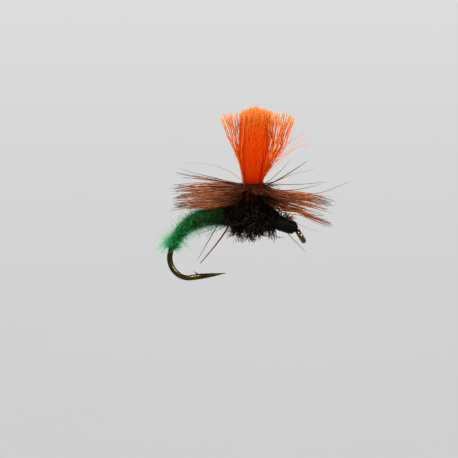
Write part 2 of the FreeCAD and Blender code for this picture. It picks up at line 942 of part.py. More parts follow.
HEAD = [
    (2.25, "head_radius_rear"),
    (1.75, "head_radius_back"),
    (1.15, "head_radius_mid"),
    (0.75, "head_radius_fore"),
    (0.42, "head_radius_front"),
]
head_sections = [
    ring_section(f"head_ring{i}", d, alias) for i, (d, alias) in enumerate(HEAD)
]
head_tool = core_tool("head_tool", "Dims.thread_base_radius + Dims.layer_gap", 1, 3)
head_cut = sleeve("head_wraps", head_sections, [head_tool])

# --- whip finish: the last turns, against the eye -----------------------------------

turns = []
for i in range(3):
    x, z, heading = station(0.12 + i * size("whip_pitch"))
    turn = doc.addObject("Part::Torus", f"whip_turn{i}")
    bind(
        turn,
        "Radius1",
        "(Dims.wire_radius + Dims.layer_gap + Dims.thread_radius) * 1 mm",
    )
    bind(turn, "Radius2", "Dims.thread_radius * 1 mm")
    turn.Placement = side_frame(x, z, heading)
    turns.append(turn)
tuft("whip_finish", turns)

# --- trimmed hackle tip left standing on top of the head ------------------------------

tag_x, tag_z, tag_heading = station(1.55)
top = size("head_radius_mid") + 0.02
tip_tag = doc.addObject("Part::Cone", "tip_tag")
bind(tip_tag, "Radius1", "Dims.tip_tag_root_radius * 1 mm")
bind(tip_tag, "Radius2", "Dims.tip_tag_end_radius * 1 mm")
bind(tip_tag, "Height", "Dims.tip_tag_length * 1 mm")
tip_tag.Placement = Placement(
    Vector(
        tag_x + (top + 0.10) * math.sin(tag_heading),
        0,
        tag_z - (top + 0.10) * math.cos(tag_heading),
    ),
    Rotation(Vector(0, 0, 1), Vector(1.0, 0, 0.04)),
)
finish(tip_tag, "hackle_tip_tag")

# --- check everything, then write -------------------------------------------------------

doc.recompute()
for obj in doc.Objects:
    for state in obj.State:
        if state in ("Invalid", "Error"):
            raise RuntimeError(f"{obj.Name} is {state}")
names = set()
for obj in made:
    shape = obj.Shape
    if shape.isNull() or not shape.isValid():
        raise RuntimeError(f"{obj.Label} has no valid shape")
    if not shape.Solids or min(s.Volume for s in shape.Solids) <= 0:
        raise RuntimeError(f"{obj.Label} has an empty solid")
    if obj.Label in names or len(obj.Label) >= 60:
        raise RuntimeError(f"{obj.Label} can't name a file")
    names.add(obj.Label)

os.makedirs("parts", exist_ok=True)
for obj in made:
    obj.Shape.exportStep(os.path.join("parts", obj.Label + ".step"))
    box = obj.Shape.BoundBox
    print(
        f"{obj.Label}: {len(obj.Shape.Solids)} solids, {obj.Shape.Volume:.4f} mm3, "
        f"x {box.XMin:.2f}..{box.XMax:.2f} y {box.YMin:.2f}..{box.YMax:.2f} z {box.ZMin:.2f}..{box.ZMax:.2f}"
    )
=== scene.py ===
import math

import bpy
import numpy as np
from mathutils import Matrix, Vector


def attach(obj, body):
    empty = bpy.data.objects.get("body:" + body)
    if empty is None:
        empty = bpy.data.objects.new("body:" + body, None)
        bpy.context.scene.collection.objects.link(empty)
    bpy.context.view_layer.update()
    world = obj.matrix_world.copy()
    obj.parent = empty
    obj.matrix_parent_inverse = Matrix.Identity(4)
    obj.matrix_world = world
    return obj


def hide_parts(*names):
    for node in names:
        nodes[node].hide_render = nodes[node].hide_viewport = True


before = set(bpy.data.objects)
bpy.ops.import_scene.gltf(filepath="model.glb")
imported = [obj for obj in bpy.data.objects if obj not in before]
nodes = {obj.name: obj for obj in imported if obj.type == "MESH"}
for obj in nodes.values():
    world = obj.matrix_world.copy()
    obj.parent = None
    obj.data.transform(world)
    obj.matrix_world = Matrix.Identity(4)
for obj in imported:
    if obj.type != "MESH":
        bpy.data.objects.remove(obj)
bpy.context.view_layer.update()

MM = 0.001
BODY = "root"

# ---------------------------------------------------------------------------
# The line of the hook's wire: tangent arcs and runs from the eye to the point,
# in millimetres in the XZ plane. Heading 180 degrees runs to the rear.
# ---------------------------------------------------------------------------
START = (-0.33, 0.547, math.radians(147.16))
CHAIN = [
    (2.893, 14.03), (None, 2.105), (11.48, 16.99), (10.142, 21.08),
    (4.745, 56.46), (2.131, 38.88), (1.900, 72.79), (None, 0.98),
]


def station(d):
    """x, z and heading on the line at each distance of the array d."""
    d = np.atleast_1d(np.asarray(d, float))
    out = np.zeros((len(d), 3))
    x, z, a = START
    run = 0.0
    done = d < 0
    out[done] = np.c_[x + d[done] * np.cos(a), z + d[done] * np.sin(a), np.full(done.sum(), a)]
    for radius, value in CHAIN:
        if radius is None:
            length, sweep = value, 0.0
        else:
            sweep = math.radians(value)
            length = radius * sweep
        here = (~done) & (d <= run + length)
        t = d[here] - run
        if radius is None:
            out[here] = np.c_[x + t * math.cos(a), z + t * math.sin(a), np.full(len(t), a)]
            x, z = x + length * math.cos(a), z + length * math.sin(a)
        else:
            q = t / radius
            out[here] = np.c_[
                x + radius * (np.sin(a + q) - math.sin(a)),
                z - radius * (np.cos(a + q) - math.cos(a)),
                a + q,
            ]
            x += radius * (math.sin(a + sweep) - math.sin(a))
            z -= radius * (math.cos(a + sweep) - math.cos(a))
            a += sweep
        done |= here
        run += length
    out[~done] = (x, z, a)
    return out


def around(s, phi, r):
    """Points at radius r round the line, at distance s; phi 0 is up, 90 degrees is +Y."""
    p = station(s)
    ux, uz = np.sin(p[:, 2]), -np.cos(p[:, 2])
    c, n = np.cos(phi) * r, np.sin(phi) * r
    return np.c_[p[:, 0] + ux * c, n, p[:, 1] + uz * c]


def frame_at(s):
    """Origin, up, side and along vectors on the line."""
    p = station(s)
    o = np.c_[p[:, 0], np.zeros(len(p)), p[:, 1]]
    up = np.c_[np.sin(p[:, 2]), np.zeros(len(p)), -np.cos(p[:, 2])]
    side = np.tile([0.0, 1.0, 0.0], (len(p), 1))
    along = np.c_[np.cos(p[:, 2]), np.zeros(len(p)), np.sin(p[:, 2])]
    return o, up, side, along


def unit(v):
    return v / np.maximum(np.linalg.norm(v, axis=-1, keepdims=True), 1e-12)


def smooth(t):
    t = np.clip(t, 0, 1)
    return t * t * (3 - 2 * t)


def curls(root, d0, axis, angle, length, k):
    """Lines that start along d0 and turn steadily through an angle about an axis."""
    d0 = unit(d0)
    axis = unit(axis - (axis * d0).sum(1, keepdims=True) * d0)
    other = np.cross(axis, d0)
    t = (np.arange(k - 1) + 0.5) / (k - 1)
    th = angle[:, None] * t[None, :]
    dirs = d0[:, None] * np.cos(th)[..., None] + other[:, None] * np.sin(th)[..., None]
    steps = dirs * (length / (k - 1))[:, None, None]
    return np.concatenate([root[:, None], root[:, None] + np.cumsum(steps, 1)], 1)


# ---------------------------------------------------------------------------
# Mesh building
# ---------------------------------------------------------------------------
def mesh_object(name, co, quads, tris, uv_quads, uv_tris, mat):
    """A mesh from arrays in millimetres. UVs are one pair for each corner."""
    me = bpy.data.meshes.new(name)
    nq, nt = len(quads), len(tris)
    me.vertices.add(len(co))
    me.vertices.foreach_set("co", (np.asarray(co, np.float32) * MM).ravel())
    loops = np.concatenate([np.asarray(quads, np.int32).ravel(), np.asarray(tris, np.int32).ravel()])
    me.loops.add(len(loops))
    me.loops.foreach_set("vertex_index", loops)
    me.polygons.add(nq + nt)
    starts = np.concatenate([np.arange(nq) * 4, nq * 4 + np.arange(nt) * 3]).astype(np.int32)
    me.polygons.foreach_set("loop_start", starts)
    me.polygons.foreach_set("use_smooth", np.ones(nq + nt, bool))
    layer = me.uv_layers.new(name="OFBake")
    uv = np.concatenate([np.asarray(uv_quads, np.float32).reshape(-1, 2), np.asarray(uv_tris, np.float32).reshape(-1, 2)])
    layer.data.foreach_set("uv", uv.ravel())
    me.update(calc_edges=True)
    me.validate()
    ob = bpy.data.objects.new(name, me)
    bpy.context.scene.collection.objects.link(ob)
    me.materials.append(mat)
    return ob


ZONES, MIXES = 16, 8


def fibres(name, P, R, mat, zone=None, mix=None, sides=3, flat=1.0, seed=1, face=None):
    """Tapered fibres as one mesh. P is (n, k, 3) points, R is (n, k) radii.

    zone (0 to 1) and mix (0 to 1) choose the colour band that a fibre takes: the UV's
    first number runs along the fibre, and its second holds zone and mix.
    face, when given, is the direction that the flat side of a fibre looks to.
    """
    rng = np.random.default_rng(seed)
    n, k, _ = P.shape
    T = unit(np.gradient(P, axis=1))
    if face is None:
        ref = unit(rng.normal(size=(n, 3)))
    else:
        ref = np.broadcast_to(face, (n, 3)).copy()
    U = np.zeros_like(P)
    u = ref
    for j in range(k):
        u = u - (u * T[:, j]).sum(1, keepdims=True) * T[:, j]
        bad = np.linalg.norm(u, axis=1) < 1e-4
        if bad.any():
            u[bad] = np.cross(T[bad, j], [0.3, 0.5, 0.8])
        u = unit(u)
        U[:, j] = u
    V = np.cross(T, U)
    ang = 2 * np.pi * np.arange(sides) / sides
    ring = (
        P[:, :, None, :]
        + R[:, :, None, None] * np.cos(ang)[None, None, :, None] * U[:, :, None, :] * flat
        + R[:, :, None, None] * np.sin(ang)[None, None, :, None] * V[:, :, None, :]
    )
    co = ring.reshape(-1, 3)
    base = (np.arange(n) * k * sides)[:, None, None]
    j = np.arange(k - 1)[None, :, None] * sides
    i = np.arange(sides)[None, None, :]
    a = base + j + i
    b = base + j + (i + 1) % sides
    quads = np.stack([a, b, b + sides, a + sides], -1).reshape(-1, 4)
    # colour bands
    zone = np.zeros(n) if zone is None else np.broadcast_to(np.asarray(zone, float), (n,))
    mix = rng.random(n) if mix is None else np.broadcast_to(np.asarray(mix, float), (n,))
    band = np.floor(np.clip(zone, 0, 0.9999) * ZONES) * MIXES + np.floor(np.clip(mix, 0, 0.9999) * MIXES)
    v0 = (band + 0.5) / (ZONES * MIXES)
    half = 0.30 / (ZONES * MIXES)
    t = np.linspace(0.004, 0.996, k)
    va = v0[:, None, None] + half * (2 * np.arange(sides)[None, None, :] / sides - 1)
    vb = v0[:, None, None] + half * (2 * (np.arange(sides)[None, None, :] + 1) / sides - 1)
    va = np.broadcast_to(va, (n, k - 1, sides))
    vb = np.broadcast_to(vb, (n, k - 1, sides))
    t0 = np.broadcast_to(t[:-1][None, :, None], (n, k - 1, sides))
    t1 = np.broadcast_to(t[1:][None, :, None], (n, k - 1, sides))
    uvq = np.stack([np.stack([t0, va], -1), np.stack([t0, vb], -1), np.stack([t1, vb], -1), np.stack([t1, va], -1)], -2)
    # ends closed by fans of triangles
    idx = np.arange(1, sides - 1)
    root = (np.arange(n) * k * sides)[:, None]
    tip = root + (k - 1) * sides
    cap0 = np.stack([root + 0 * idx, root + idx + 1, root + idx], -1).reshape(-1, 3)
    cap1 = np.stack([tip + 0 * idx, tip + idx, tip + idx + 1], -1).reshape(-1, 3)
    tris = np.concatenate([cap0, cap1])
    v0r = np.repeat(v0, sides - 2)
    c0 = np.stack([np.full((len(cap0), 3), t[0]), v0r[:, None] + half * np.array([[-0.6, 0.6, 0.0]])], -1)
    c1 = np.stack([np.full((len(cap1), 3), t[-1]), v0r[:, None] + half * np.array([[-0.6, 0.6, 0.0]])], -1)
    c0[:, 2, 0] += 0.003
    c1[:, 2, 0] -= 0.003
    return mesh_object(name, co, quads, tris, uvq, np.concatenate([c0, c1]), mat)


def skin(name, rings, mat, closed_ends=True):
    """A closed skin through rings of points, (m, n, 3)."""
    m, n, _ = rings.shape
    co = rings.reshape(-1, 3)
    j = np.arange(m - 1)[:, None] * n
    i = np.arange(n)[None, :]
    a, b = j + i, j + (i + 1) % n
    quads = np.stack([a, b, b + n, a + n], -1).reshape(-1, 4)
    u0 = np.broadcast_to((np.arange(m - 1) / (m - 1))[:, None], (m - 1, n))
    u1 = u0 + 1.0 / (m - 1)
    v0 = np.broadcast_to((np.arange(n) / n)[None, :], (m - 1, n))
    v1 = v0 + 1.0 / n
    uvq = np.stack([np.stack([u0, v0], -1), np.stack([u0, v1], -1), np.stack([u1, v1], -1), np.stack([u1, v0], -1)], -2) * 0.92 + 0.04
    ends = np.stack([rings[0].mean(0), rings[-1].mean(0)])
    co = np.concatenate([co, ends])
    c0, c1 = m * n, m * n + 1
    i = np.arange(n)
    t0 = np.stack([np.full(n, c0), (i + 1) % n, i], -1)
    t1 = np.stack([np.full(n, c1), (m - 1) * n + i, (m - 1) * n + (i + 1) % n], -1)
    ringv = np.arange(n) / n * 0.92 + 0.04
    uv0 = np.stack([np.stack([np.full(n, 0.01), ringv], -1), np.stack([np.full(n, 0.03), ringv + 0.01], -1), np.stack([np.full(n, 0.03), ringv], -1)], -2)
    uv1 = np.stack([np.stack([np.full(n, 0.99), ringv], -1), np.stack([np.full(n, 0.97), ringv], -1), np.stack([np.full(n, 0.97), ringv + 0.01], -1)], -2)
    return mesh_object(name, co, quads, np.concatenate([t0, t1]), uvq, np.concatenate([uv0, uv1]), mat)


def strand(name, path, radius, mat, sides=8, seed=3, squash=1.0):
    """One long round strand, such as a thread, along an open path."""
    path = np.asarray(path, float)[None]
    r = np.broadcast_to(np.asarray(radius, float), (1, path.shape[1])).copy()
    return fibres(name, path, r, mat, zone=0.5, mix=0.5, sides=sides, seed=seed, flat=squash)


def place(ob, *replaced, slot=None):
    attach(ob, BODY)
    for node in replaced:
        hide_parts(node)
    return ob


# ---------------------------------------------------------------------------
# Materials
# ---------------------------------------------------------------------------
def rgb(r, g, b):
    """sRGB 0-255 to linear."""
    def f(c):
        c /= 255.0
        return c / 12.92 if c <= 0.04045 else ((c + 0.055) / 1.055) ** 2.4
    return (f(r), f(g), f(b), 1.0)


class Mat:
    def __init__(self, name):
        self.m = bpy.data.materials.new(name)
        self.m.use_nodes = True
        self.nt = self.m.node_tree
        self.nt.nodes.clear()
        self.out = self.nt.nodes.new("ShaderNodeOutputMaterial")
        self.bsdf = self.nt.nodes.new("ShaderNodeBsdfPrincipled")
        self.nt.links.new(self.bsdf.outputs[0], self.out.inputs["Surface"])

    def node(self, kind, **props):
        n = self.nt.nodes.new(kind)
        for k, v in props.items():
            setattr(n, k, v)
        return n

    def link(self, a, b):
        self.nt.links.new(a, b)

    def uv(self):
        n = self.node("ShaderNodeUVMap", uv_map="OFBake")
        s = self.node("ShaderNodeSeparateXYZ")
        self.link(n.outputs[0], s.inputs[0])
        return s.outputs[0], s.outputs[1], n.outputs[0]

    def math(self, op, a, b=None, c=None):
        n = self.node("ShaderNodeMath", operation=op)
        for i, v in enumerate((a, b, c)):
            if v is None:
                continue
            if isinstance(v, (int, float)):
                n.inputs[i].default_value = v
            else:
                self.link(v, n.inputs[i])
        return n.outputs[0]

    def ramp(self, fac, stops, interpolation="LINEAR"):
        n = self.node("ShaderNodeValToRGB")
        n.color_ramp.interpolation = interpolation
        el = n.color_ramp.elements
        while len(el) > 1:
            el.remove(el[-1])
        el[0].position, el[0].color = stops[0][0], stops[0][1]
        for p, c in stops[1:]:
            e = el.new(p)
            e.color = c
        self.link(fac, n.inputs[0])
        return n.outputs[0]

    def mixc(self, fac, a, b, blend="MIX"):
        n = self.node("ShaderNodeMix", data_type="RGBA", blend_type=blend)
        for i, v in ((0, fac), (6, a), (7, b)):
            if isinstance(v, (int, float)):
                n.inputs[i].default_value = v
            elif isinstance(v, tuple):
                n.inputs[i].default_value = v
            else:
                self.link(v, n.inputs[i])
        return n.outputs[2]

    def coords(self, scale=1000.0):
        """Object coordinates in millimetres."""
        t = self.node("ShaderNodeTexCoord")
        v = self.node("ShaderNodeVectorMath", operation="SCALE")
        v.inputs["Scale"].default_value = scale
        self.link(t.outputs["Object"], v.inputs[0])
        return v.outputs[0]

    def noise(self, vector, scale, detail=3.0, rough=0.55, distortion=0.0, dims="3D"):
        n = self.node("ShaderNodeTexNoise", noise_dimensions=dims)
        n.inputs["Scale"].default_value = scale
        n.inputs["Detail"].default_value = detail
        n.inputs["Roughness"].default_value = rough
        n.inputs["Distortion"].default_value = distortion
        self.link(vector, n.inputs["Vector"])
        return n.outputs["Fac"]

    def stretch(self, vector, x, y, z):
        n = self.node("ShaderNodeMapping")
        n.inputs["Scale"].default_value = (x, y, z)
        self.link(vector, n.inputs["Vector"])
        return n.outputs[0]

    def colour(self, c):
        self.link(c, self.bsdf.inputs["Base Color"])
        return self

    def rough(self, v):
        if isinstance(v, (int, float)):
            self.bsdf.inputs["Roughness"].default_value = v
        else:
            self.link(v, self.bsdf.inputs["Roughness"])
        return self

    def bump(self, height, strength, distance):
        n = self.node("ShaderNodeBump")
        n.inputs["Strength"].default_value = strength
        n.inputs["Distance"].default_value = distance
        self.link(height, n.inputs["Height"])
        self.link(n.outputs[0], self.bsdf.inputs["Normal"])
        return self

    def set(self, **values):
        for k, v in values.items():
            self.bsdf.inputs[k.replace("_", " ")].default_value = v
        return self

    def glow_through(self, share, colour):
        """Light passes through the fibre: a share of translucency in its own colour."""
        t = self.node("ShaderNodeBsdfTranslucent")
        self.link(colour, t.inputs["Color"])
        m = self.node("ShaderNodeMixShader")
        m.inputs[0].default_value = share
        self.link(self.bsdf.outputs[0], m.inputs[1])
        self.link(t.outputs[0], m.inputs[2])
        self.link(m.outputs[0], self.out.inputs["Surface"])
        return self


def remap(mat, value, lo, hi, to_lo, to_hi):
    n = mat.node("ShaderNodeMapRange")
    mat.link(value, n.inputs["Value"])
    for key, v in (("From Min", lo), ("From Max", hi), ("To Min", to_lo), ("To Max", to_hi)):
        n.inputs[key].default_value = v
    return n.outputs[0]


def fibre_bands(m):
    """Along (0 root, 1 tip), zone (0 to 1) and the fibre's own random number."""
    u, v, vec = m.uv()
    scaled = m.math("MULTIPLY", v, float(ZONES))
    zone = m.math("DIVIDE", m.math("FLOOR", scaled), float(ZONES - 1))
    rnd = m.math("FRACT", scaled)
    rnd = m.math("DIVIDE", m.math("FLOOR", m.math("MULTIPLY", rnd, float(MIXES))), float(MIXES - 1))
    return u, zone, rnd, vec


def fleck(m, vec, along, across, detail=2.0):
    """Noise that runs with the fibres, in the fibre's own UV."""
    return m.noise(m.stretch(vec, along, across, 1.0), 1.0, detail=detail)


# hook: bronzed steel wire, blotched, with light flecks and a fine bump, and lighter towards the eye's end
def make_bronze():
    m = Mat("bronzed_wire")
    c = m.coords()
    blotch = m.noise(c, 1.4, detail=4.0, rough=0.6)
    fine = m.noise(c, 22.0, detail=2.0)
    base = m.ramp(blotch, [(0.30, (0.030, 0.026, 0.008, 1)), (0.55, (0.060, 0.049, 0.015, 1)), (0.75, (0.120, 0.096, 0.034, 1))])
    base = m.mixc(remap(m, fine, 0.40, 0.7, 0.0, 0.15), base, (0.20, 0.16, 0.07, 1))
    sep = m.node("ShaderNodeSeparateXYZ")
    m.link(c, sep.inputs[0])
    base = m.mixc(remap(m, sep.outputs[0], -1.2, -0.4, 0.0, 0.75), base, m.ramp(blotch, [(0.35, (0.10, 0.075, 0.026, 1)), (0.65, (0.26, 0.19, 0.08, 1))]))
    m.colour(base)
    m.rough(remap(m, blotch, 0.3, 0.7, 0.12, 0.24))
    m.bump(fine, 0.12, 0.00001)
    m.set(Metallic=1.0)
    return m.m


def make_thread(name="black_thread", shine=0.42):
    m = Mat(name)
    c = m.coords()
    wax = m.noise(c, 5.0, detail=3.0)
    nap = m.noise(c, 60.0, detail=2.0)
    m.colour(m.ramp(wax, [(0.3, (0.0016, 0.0013, 0.0012, 1)), (0.7, (0.0050, 0.0040, 0.0036, 1))]))
    m.rough(remap(m, nap, 0.3, 0.7, shine - 0.08, shine + 0.20))
    m.bump(nap, 0.25, 0.00001)
    m.set(Specular_IOR_Level=0.14)
    return m.m


def make_yarn():
    """Poly yarn filament: deep red-orange low in the bundle, dark with painted shade at its foot under the hackle's
    turns, lighter at the cut top.
    """
    m = Mat("orange_yarn")
    u, zone, rnd, vec = fibre_bands(m)
    # painted shade: both ramps are dark at the filaments' foot, under the hackle's turns, and brighten above it
    deep = m.ramp(u, [(0.0, rgb(96, 6, 0)), (0.24, rgb(120, 14, 0)), (0.34, rgb(214, 40, 0)), (0.55, rgb(236, 60, 0)), (0.78, rgb(240, 78, 0)), (0.91, rgb(236, 112, 22)), (1.0, rgb(238, 150, 76))])
    pale = m.ramp(u, [(0.0, rgb(150, 20, 0)), (0.28, rgb(222, 66, 0)), (0.40, rgb(242, 128, 24)), (0.60, rgb(246, 158, 46)), (1.0, rgb(244, 180, 92))])
    col = m.mixc(zone, deep, pale)
    dark = m.mixc(remap(m, rnd, 0.0, 1.0, 0.0, 0.30), col, (0.85, 0.20, 0.0, 1), "MULTIPLY")
    light = remap(m, fleck(m, vec, 26.0, 190.0), 0.50, 0.80, 0.0, 0.10)
    col = m.mixc(light, dark, (1.0, 0.36, 0.01, 1), "SCREEN")
    m.colour(col)
    m.rough(remap(m, rnd, 0, 1, 0.40, 0.58))
    m.set(Specular_IOR_Level=0.04)
    # a painted glow: the yarn gives back a little more light than it is lit by, in its own colour
    m.link(col, m.bsdf.inputs["Emission Color"])
    m.bsdf.inputs["Emission Strength"].default_value = 0.125
    m.glow_through(0.45, col)
    return m.m


def make_yarn_core():
    m = Mat("orange_yarn_bundle")
    c = m.coords()
    streak = m.noise(m.stretch(c, 9.0, 9.0, 0.35), 1.0, detail=4.0)
    m.colour(m.ramp(streak, [(0.3, rgb(150, 12, 0)), (0.55, rgb(214, 36, 0)), (0.8, rgb(240, 70, 8))]))
    m.rough(remap(m, streak, 0.3, 0.7, 0.45, 0.7))
    m.bump(streak, 0.6, 0.00004)
    return m.m


def make_hackle(name="hackle_barb", shade=0.0):
    """Rooster hackle barb: warm brown, glossy, darker at its tip, with painted shade deep at its root. The dim colours
    are a darker copy, painted shade, and shade mixes in more of it.
    """
    m = Mat(name)
    u, zone, rnd, vec = fibre_bands(m)
    # painted shade: both ramps are dark near the root, and dim is a shaded copy of lit
    lit = m.ramp(u, [(0.0, (0.010, 0.003, 0.001, 1)), (0.14, (0.120, 0.026, 0.005, 1)), (0.34, (0.340, 0.076, 0.015, 1)), (0.50, (0.540, 0.132, 0.028, 1)), (0.80, (0.540, 0.158, 0.042, 1)), (0.93, (0.230, 0.085, 0.036, 1)), (1.0, (0.090, 0.045, 0.026, 1))])
    dim = m.ramp(u, [(0.0, (0.006, 0.0015, 0.0005, 1)), (0.20, (0.052, 0.008, 0.001, 1)), (0.60, (0.100, 0.016, 0.002, 1)), (0.88, (0.062, 0.017, 0.006, 1)), (1.0, (0.034, 0.015, 0.008, 1))])
    col = m.mixc(m.math("MULTIPLY", rnd, rnd), lit, dim)
    col = m.mixc(zone, col, (0.30, 0.13, 0.075, 1))
    # painted shade over the whole barb, as much as shade asks for
    col = m.mixc(shade, col, (0.020, 0.0034, 0.0006, 1))
    flecks = remap(m, fleck(m, vec, 60.0, 300.0), 0.45, 0.8, 0.0, 0.14)
    col = m.mixc(flecks, col, (0.50, 0.20, 0.08, 1))
    m.colour(col)
    m.rough(remap(m, rnd, 0, 1, 0.22, 0.36))
    m.set(Specular_IOR_Level=0.09)
    m.glow_through(0.30, col)
    return m.m


def make_stem():
    m = Mat("hackle_stem")
    c = m.coords()
    n = m.noise(c, 7.0, detail=3.0)
    m.colour(m.ramp(n, [(0.3, (0.008, 0.003, 0.0015, 1)), (0.7, (0.030, 0.010, 0.004, 1))]))
    m.rough(remap(m, n, 0.3, 0.7, 0.35, 0.50))
    m.set(Specular_IOR_Level=0.04)
    m.bump(m.noise(c, 40.0), 0.3, 0.00001)
    return m.m


# green along the body from the tail to the thorax; its dark end also gives the underside's painted shade
GREEN_ALONG_AND_PAINTED_SHADE = [(0.0, rgb(0, 148, 60)), (0.35, rgb(2, 136, 54)), (0.55, rgb(18, 122, 44)), (0.72, rgb(66, 122, 46)), (0.90, rgb(84, 108, 46)), (1.0, rgb(54, 66, 30))]


def make_dubbing():
    m = Mat("green_dubbing")
    u, zone, rnd, vec = fibre_bands(m)
    base = m.ramp(zone, GREEN_ALONG_AND_PAINTED_SHADE)
    col = m.mixc(remap(m, rnd, 0.15, 1, 0.0, 0.92), base, (0.16, 0.24, 0.16, 1), "MULTIPLY")
    patch = m.noise(m.coords(), 2.2, detail=5.0, rough=0.75)
    col = m.mixc(remap(m, patch, 0.40, 0.56, 0.88, 0.0), col, (0.003, 0.030, 0.008, 1))
    pale = m.noise(m.coords(), 6.0, detail=3.0, rough=0.6)
    col = m.mixc(remap(m, pale, 0.52, 0.66, 0.0, 0.55), col, rgb(78, 142, 74))
    dark = m.noise(m.coords(), 4.3, detail=3.0, rough=0.6)
    col = m.mixc(remap(m, dark, 0.54, 0.64, 0.0, 0.80), col, (0.004, 0.020, 0.006, 1))
    tipped = m.mixc(remap(m, u, 0.7, 1.0, 0.0, 0.12), col, rgb(60, 190, 100))
    fl = remap(m, fleck(m, vec, 30.0, 260.0), 0.55, 0.8, 0.0, 0.18)
    col = m.mixc(fl, tipped, rgb(40, 176, 84))
    m.colour(col)
    m.rough(remap(m, rnd, 0, 1, 0.55, 0.75))
    m.set(Specular_IOR_Level=0.03)
    m.glow_through(0.32, col)
    return m.m


def make_dubbing_core():
    m = Mat("green_dubbing_core")
    c = m.coords()
    u, v, vec = m.uv()
    mottled = m.noise(c, 4.0, detail=5.0, rough=0.7)
    # painted shade: the core is dark, for the shade deep among the wound fibres, and noise darkens it further in
    # patches
    base = m.ramp(u, [(0.0, rgb(4, 72, 26)), (0.45, rgb(4, 58, 22)), (0.75, rgb(20, 52, 20)), (1.0, rgb(24, 38, 16))])
    m.colour(m.mixc(remap(m, mottled, 0.35, 0.7, 0.0, 0.9), base, (0.001, 0.014, 0.004, 1)))
    m.rough(remap(m, mottled, 0.3, 0.7, 0.75, 0.95))
    m.set(Specular_IOR_Level=0.05)
    m.bump(m.noise(c, 30.0, detail=3.0), 0.8, 0.00004)
    return m.m


def make_fuzz(name, root, low):
    """The finest dubbing fibres, so thin that what is behind them shows."""
    m = Mat(name)
    u, zone, rnd, vec = fibre_bands(m)
    # painted light and shade: dark roots in the body's shade, and pale tips, as fibres lit through from behind
    col = m.ramp(u, [(0.0, root), (0.42, low), (0.66, rgb(52, 196, 118)), (1.0, rgb(150, 246, 190))])
    col = m.mixc(remap(m, rnd, 0.5, 1, 0.0, 0.4), col, rgb(4, 110, 48))
    dark = m.noise(m.coords(), 4.3, detail=3.0, rough=0.6)
    close = m.math("MULTIPLY", remap(m, u, 0.45, 0.65, 1.0, 0.0), remap(m, dark, 0.48, 0.60, 0.0, 0.85))
    col = m.mixc(close, col, (0.004, 0.022, 0.007, 1))
    col = m.mixc(remap(m, zone, 0.45, 1.0, 0.0, 0.85), col, rgb(52, 86, 42))
    fl = remap(m, fleck(m, vec, 20.0, 240.0), 0.45, 0.8, 0.0, 0.25)
    col = m.mixc(fl, col, rgb(70, 200, 124))
    m.colour(col)
    m.rough(remap(m, rnd, 0, 1, 0.45, 0.65))
    m.set(Specular_IOR_Level=0.05)
    clear = m.node("ShaderNodeBsdfTransparent")
    mix = m.node("ShaderNodeMixShader")
    mix.inputs[0].default_value = 0.40
    m.link(m.bsdf.outputs[0], mix.inputs[1])
    m.link(clear.outputs[0], mix.inputs[2])
    m.link(mix.outputs[0], m.out.inputs["Surface"])
    return m.m


def make_herl():
    """Peacock herl barbule: near black, with bronze, green and violet glints."""
    m = Mat("herl_flue")
    u, zone, rnd, vec = fibre_bands(m)
    tint = m.ramp(rnd, [(0.0, (0.0012, 0.0009, 0.0005, 1)), (0.30, (0.0042, 0.0024, 0.0010, 1)), (0.52, (0.0012, 0.0018, 0.0010, 1)), (0.70, (0.0220, 0.0120, 0.0050, 1)), (0.86, (0.0050, 0.0026, 0.0014, 1)), (1.0, (0.0560, 0.0340, 0.0160, 1))], "CONSTANT")
    bands = m.noise(m.stretch(vec, 7.0, 128.0, 1.0), 1.0, detail=2.0)
    glint = remap(m, bands, 0.58, 0.80, 0.0, 0.6)
    col = m.mixc(glint, tint, (0.058, 0.030, 0.011, 1))
    col = m.mixc(remap(m, u, 0.80, 1.0, 0.0, 0.3), col, (0.022, 0.014, 0.007, 1))
    m.colour(col)
    m.rough(remap(m, rnd, 0, 1, 0.18, 0.42))
    m.set(Specular_IOR_Level=0.12)
    return m.m


def make_herl_core():
    m = Mat("herl_dark")
    c = m.coords()
    n = m.noise(c, 6.0, detail=4.0)
    m.colour(m.ramp(n, [(0.3, (0.0025, 0.0018, 0.0012, 1)), (0.7, (0.009, 0.0062, 0.0042, 1))]))
    m.rough(remap(m, n, 0.3, 0.7, 0.6, 0.85))
    m.set(Specular_IOR_Level=0.03)
    m.bump(n, 0.5, 0.00004)
    return m.m


M_BRONZE = make_bronze()
M_THREAD = make_thread()
M_YARN = make_yarn()
M_YARN_CORE = make_yarn_core()
M_HACKLE = make_hackle()
# a copy with painted shade, for the near barbs and the webby ones round the quill
M_HACKLE_SHADED = make_hackle("hackle_barb_shaded", 0.80)
M_STEM = make_stem()
M_DUB = make_dubbing()
M_DUB_CORE = make_dubbing_core()
M_FUZZ = make_fuzz("green_dubbing_fuzz", rgb(0, 46, 16), rgb(2, 88, 38))
M_WISP = make_fuzz("green_dubbing_wisp", rgb(16, 140, 70), rgb(44, 184, 106))
M_HERL = make_herl()
M_HERL_CORE = make_herl_core()

for node, material in (
    ("hook", M_BRONZE),
    ("thread_base", M_THREAD),
    ("yarn_butts", M_YARN_CORE),
    ("post_wraps", M_THREAD),
    ("hackle_quill", M_STEM),
    ("hackle_butt", M_STEM),
    ("herl_quill_rear", M_HERL_CORE),
    ("herl_quill_front", M_HERL_CORE),
):
    for slot in nodes[node].material_slots:
        slot.material = material
    me = nodes[node].data
    me.polygons.foreach_set("use_smooth", np.ones(len(me.polygons), bool))


# ---------------------------------------------------------------------------
# Abdomen: a core of wound dubbing, dark with painted shade, fibres wound over it, and its fuzz
# ---------------------------------------------------------------------------
AB_S = [7.30, 8.35, 9.45, 10.75, 11.85, 12.85, 13.60, 14.05]
AB_R = [0.95, 0.90, 0.81, 0.69, 0.55, 0.41, 0.33, 0.27]


def abdomen_r(s):
    return np.interp(s, AB_S, AB_R)


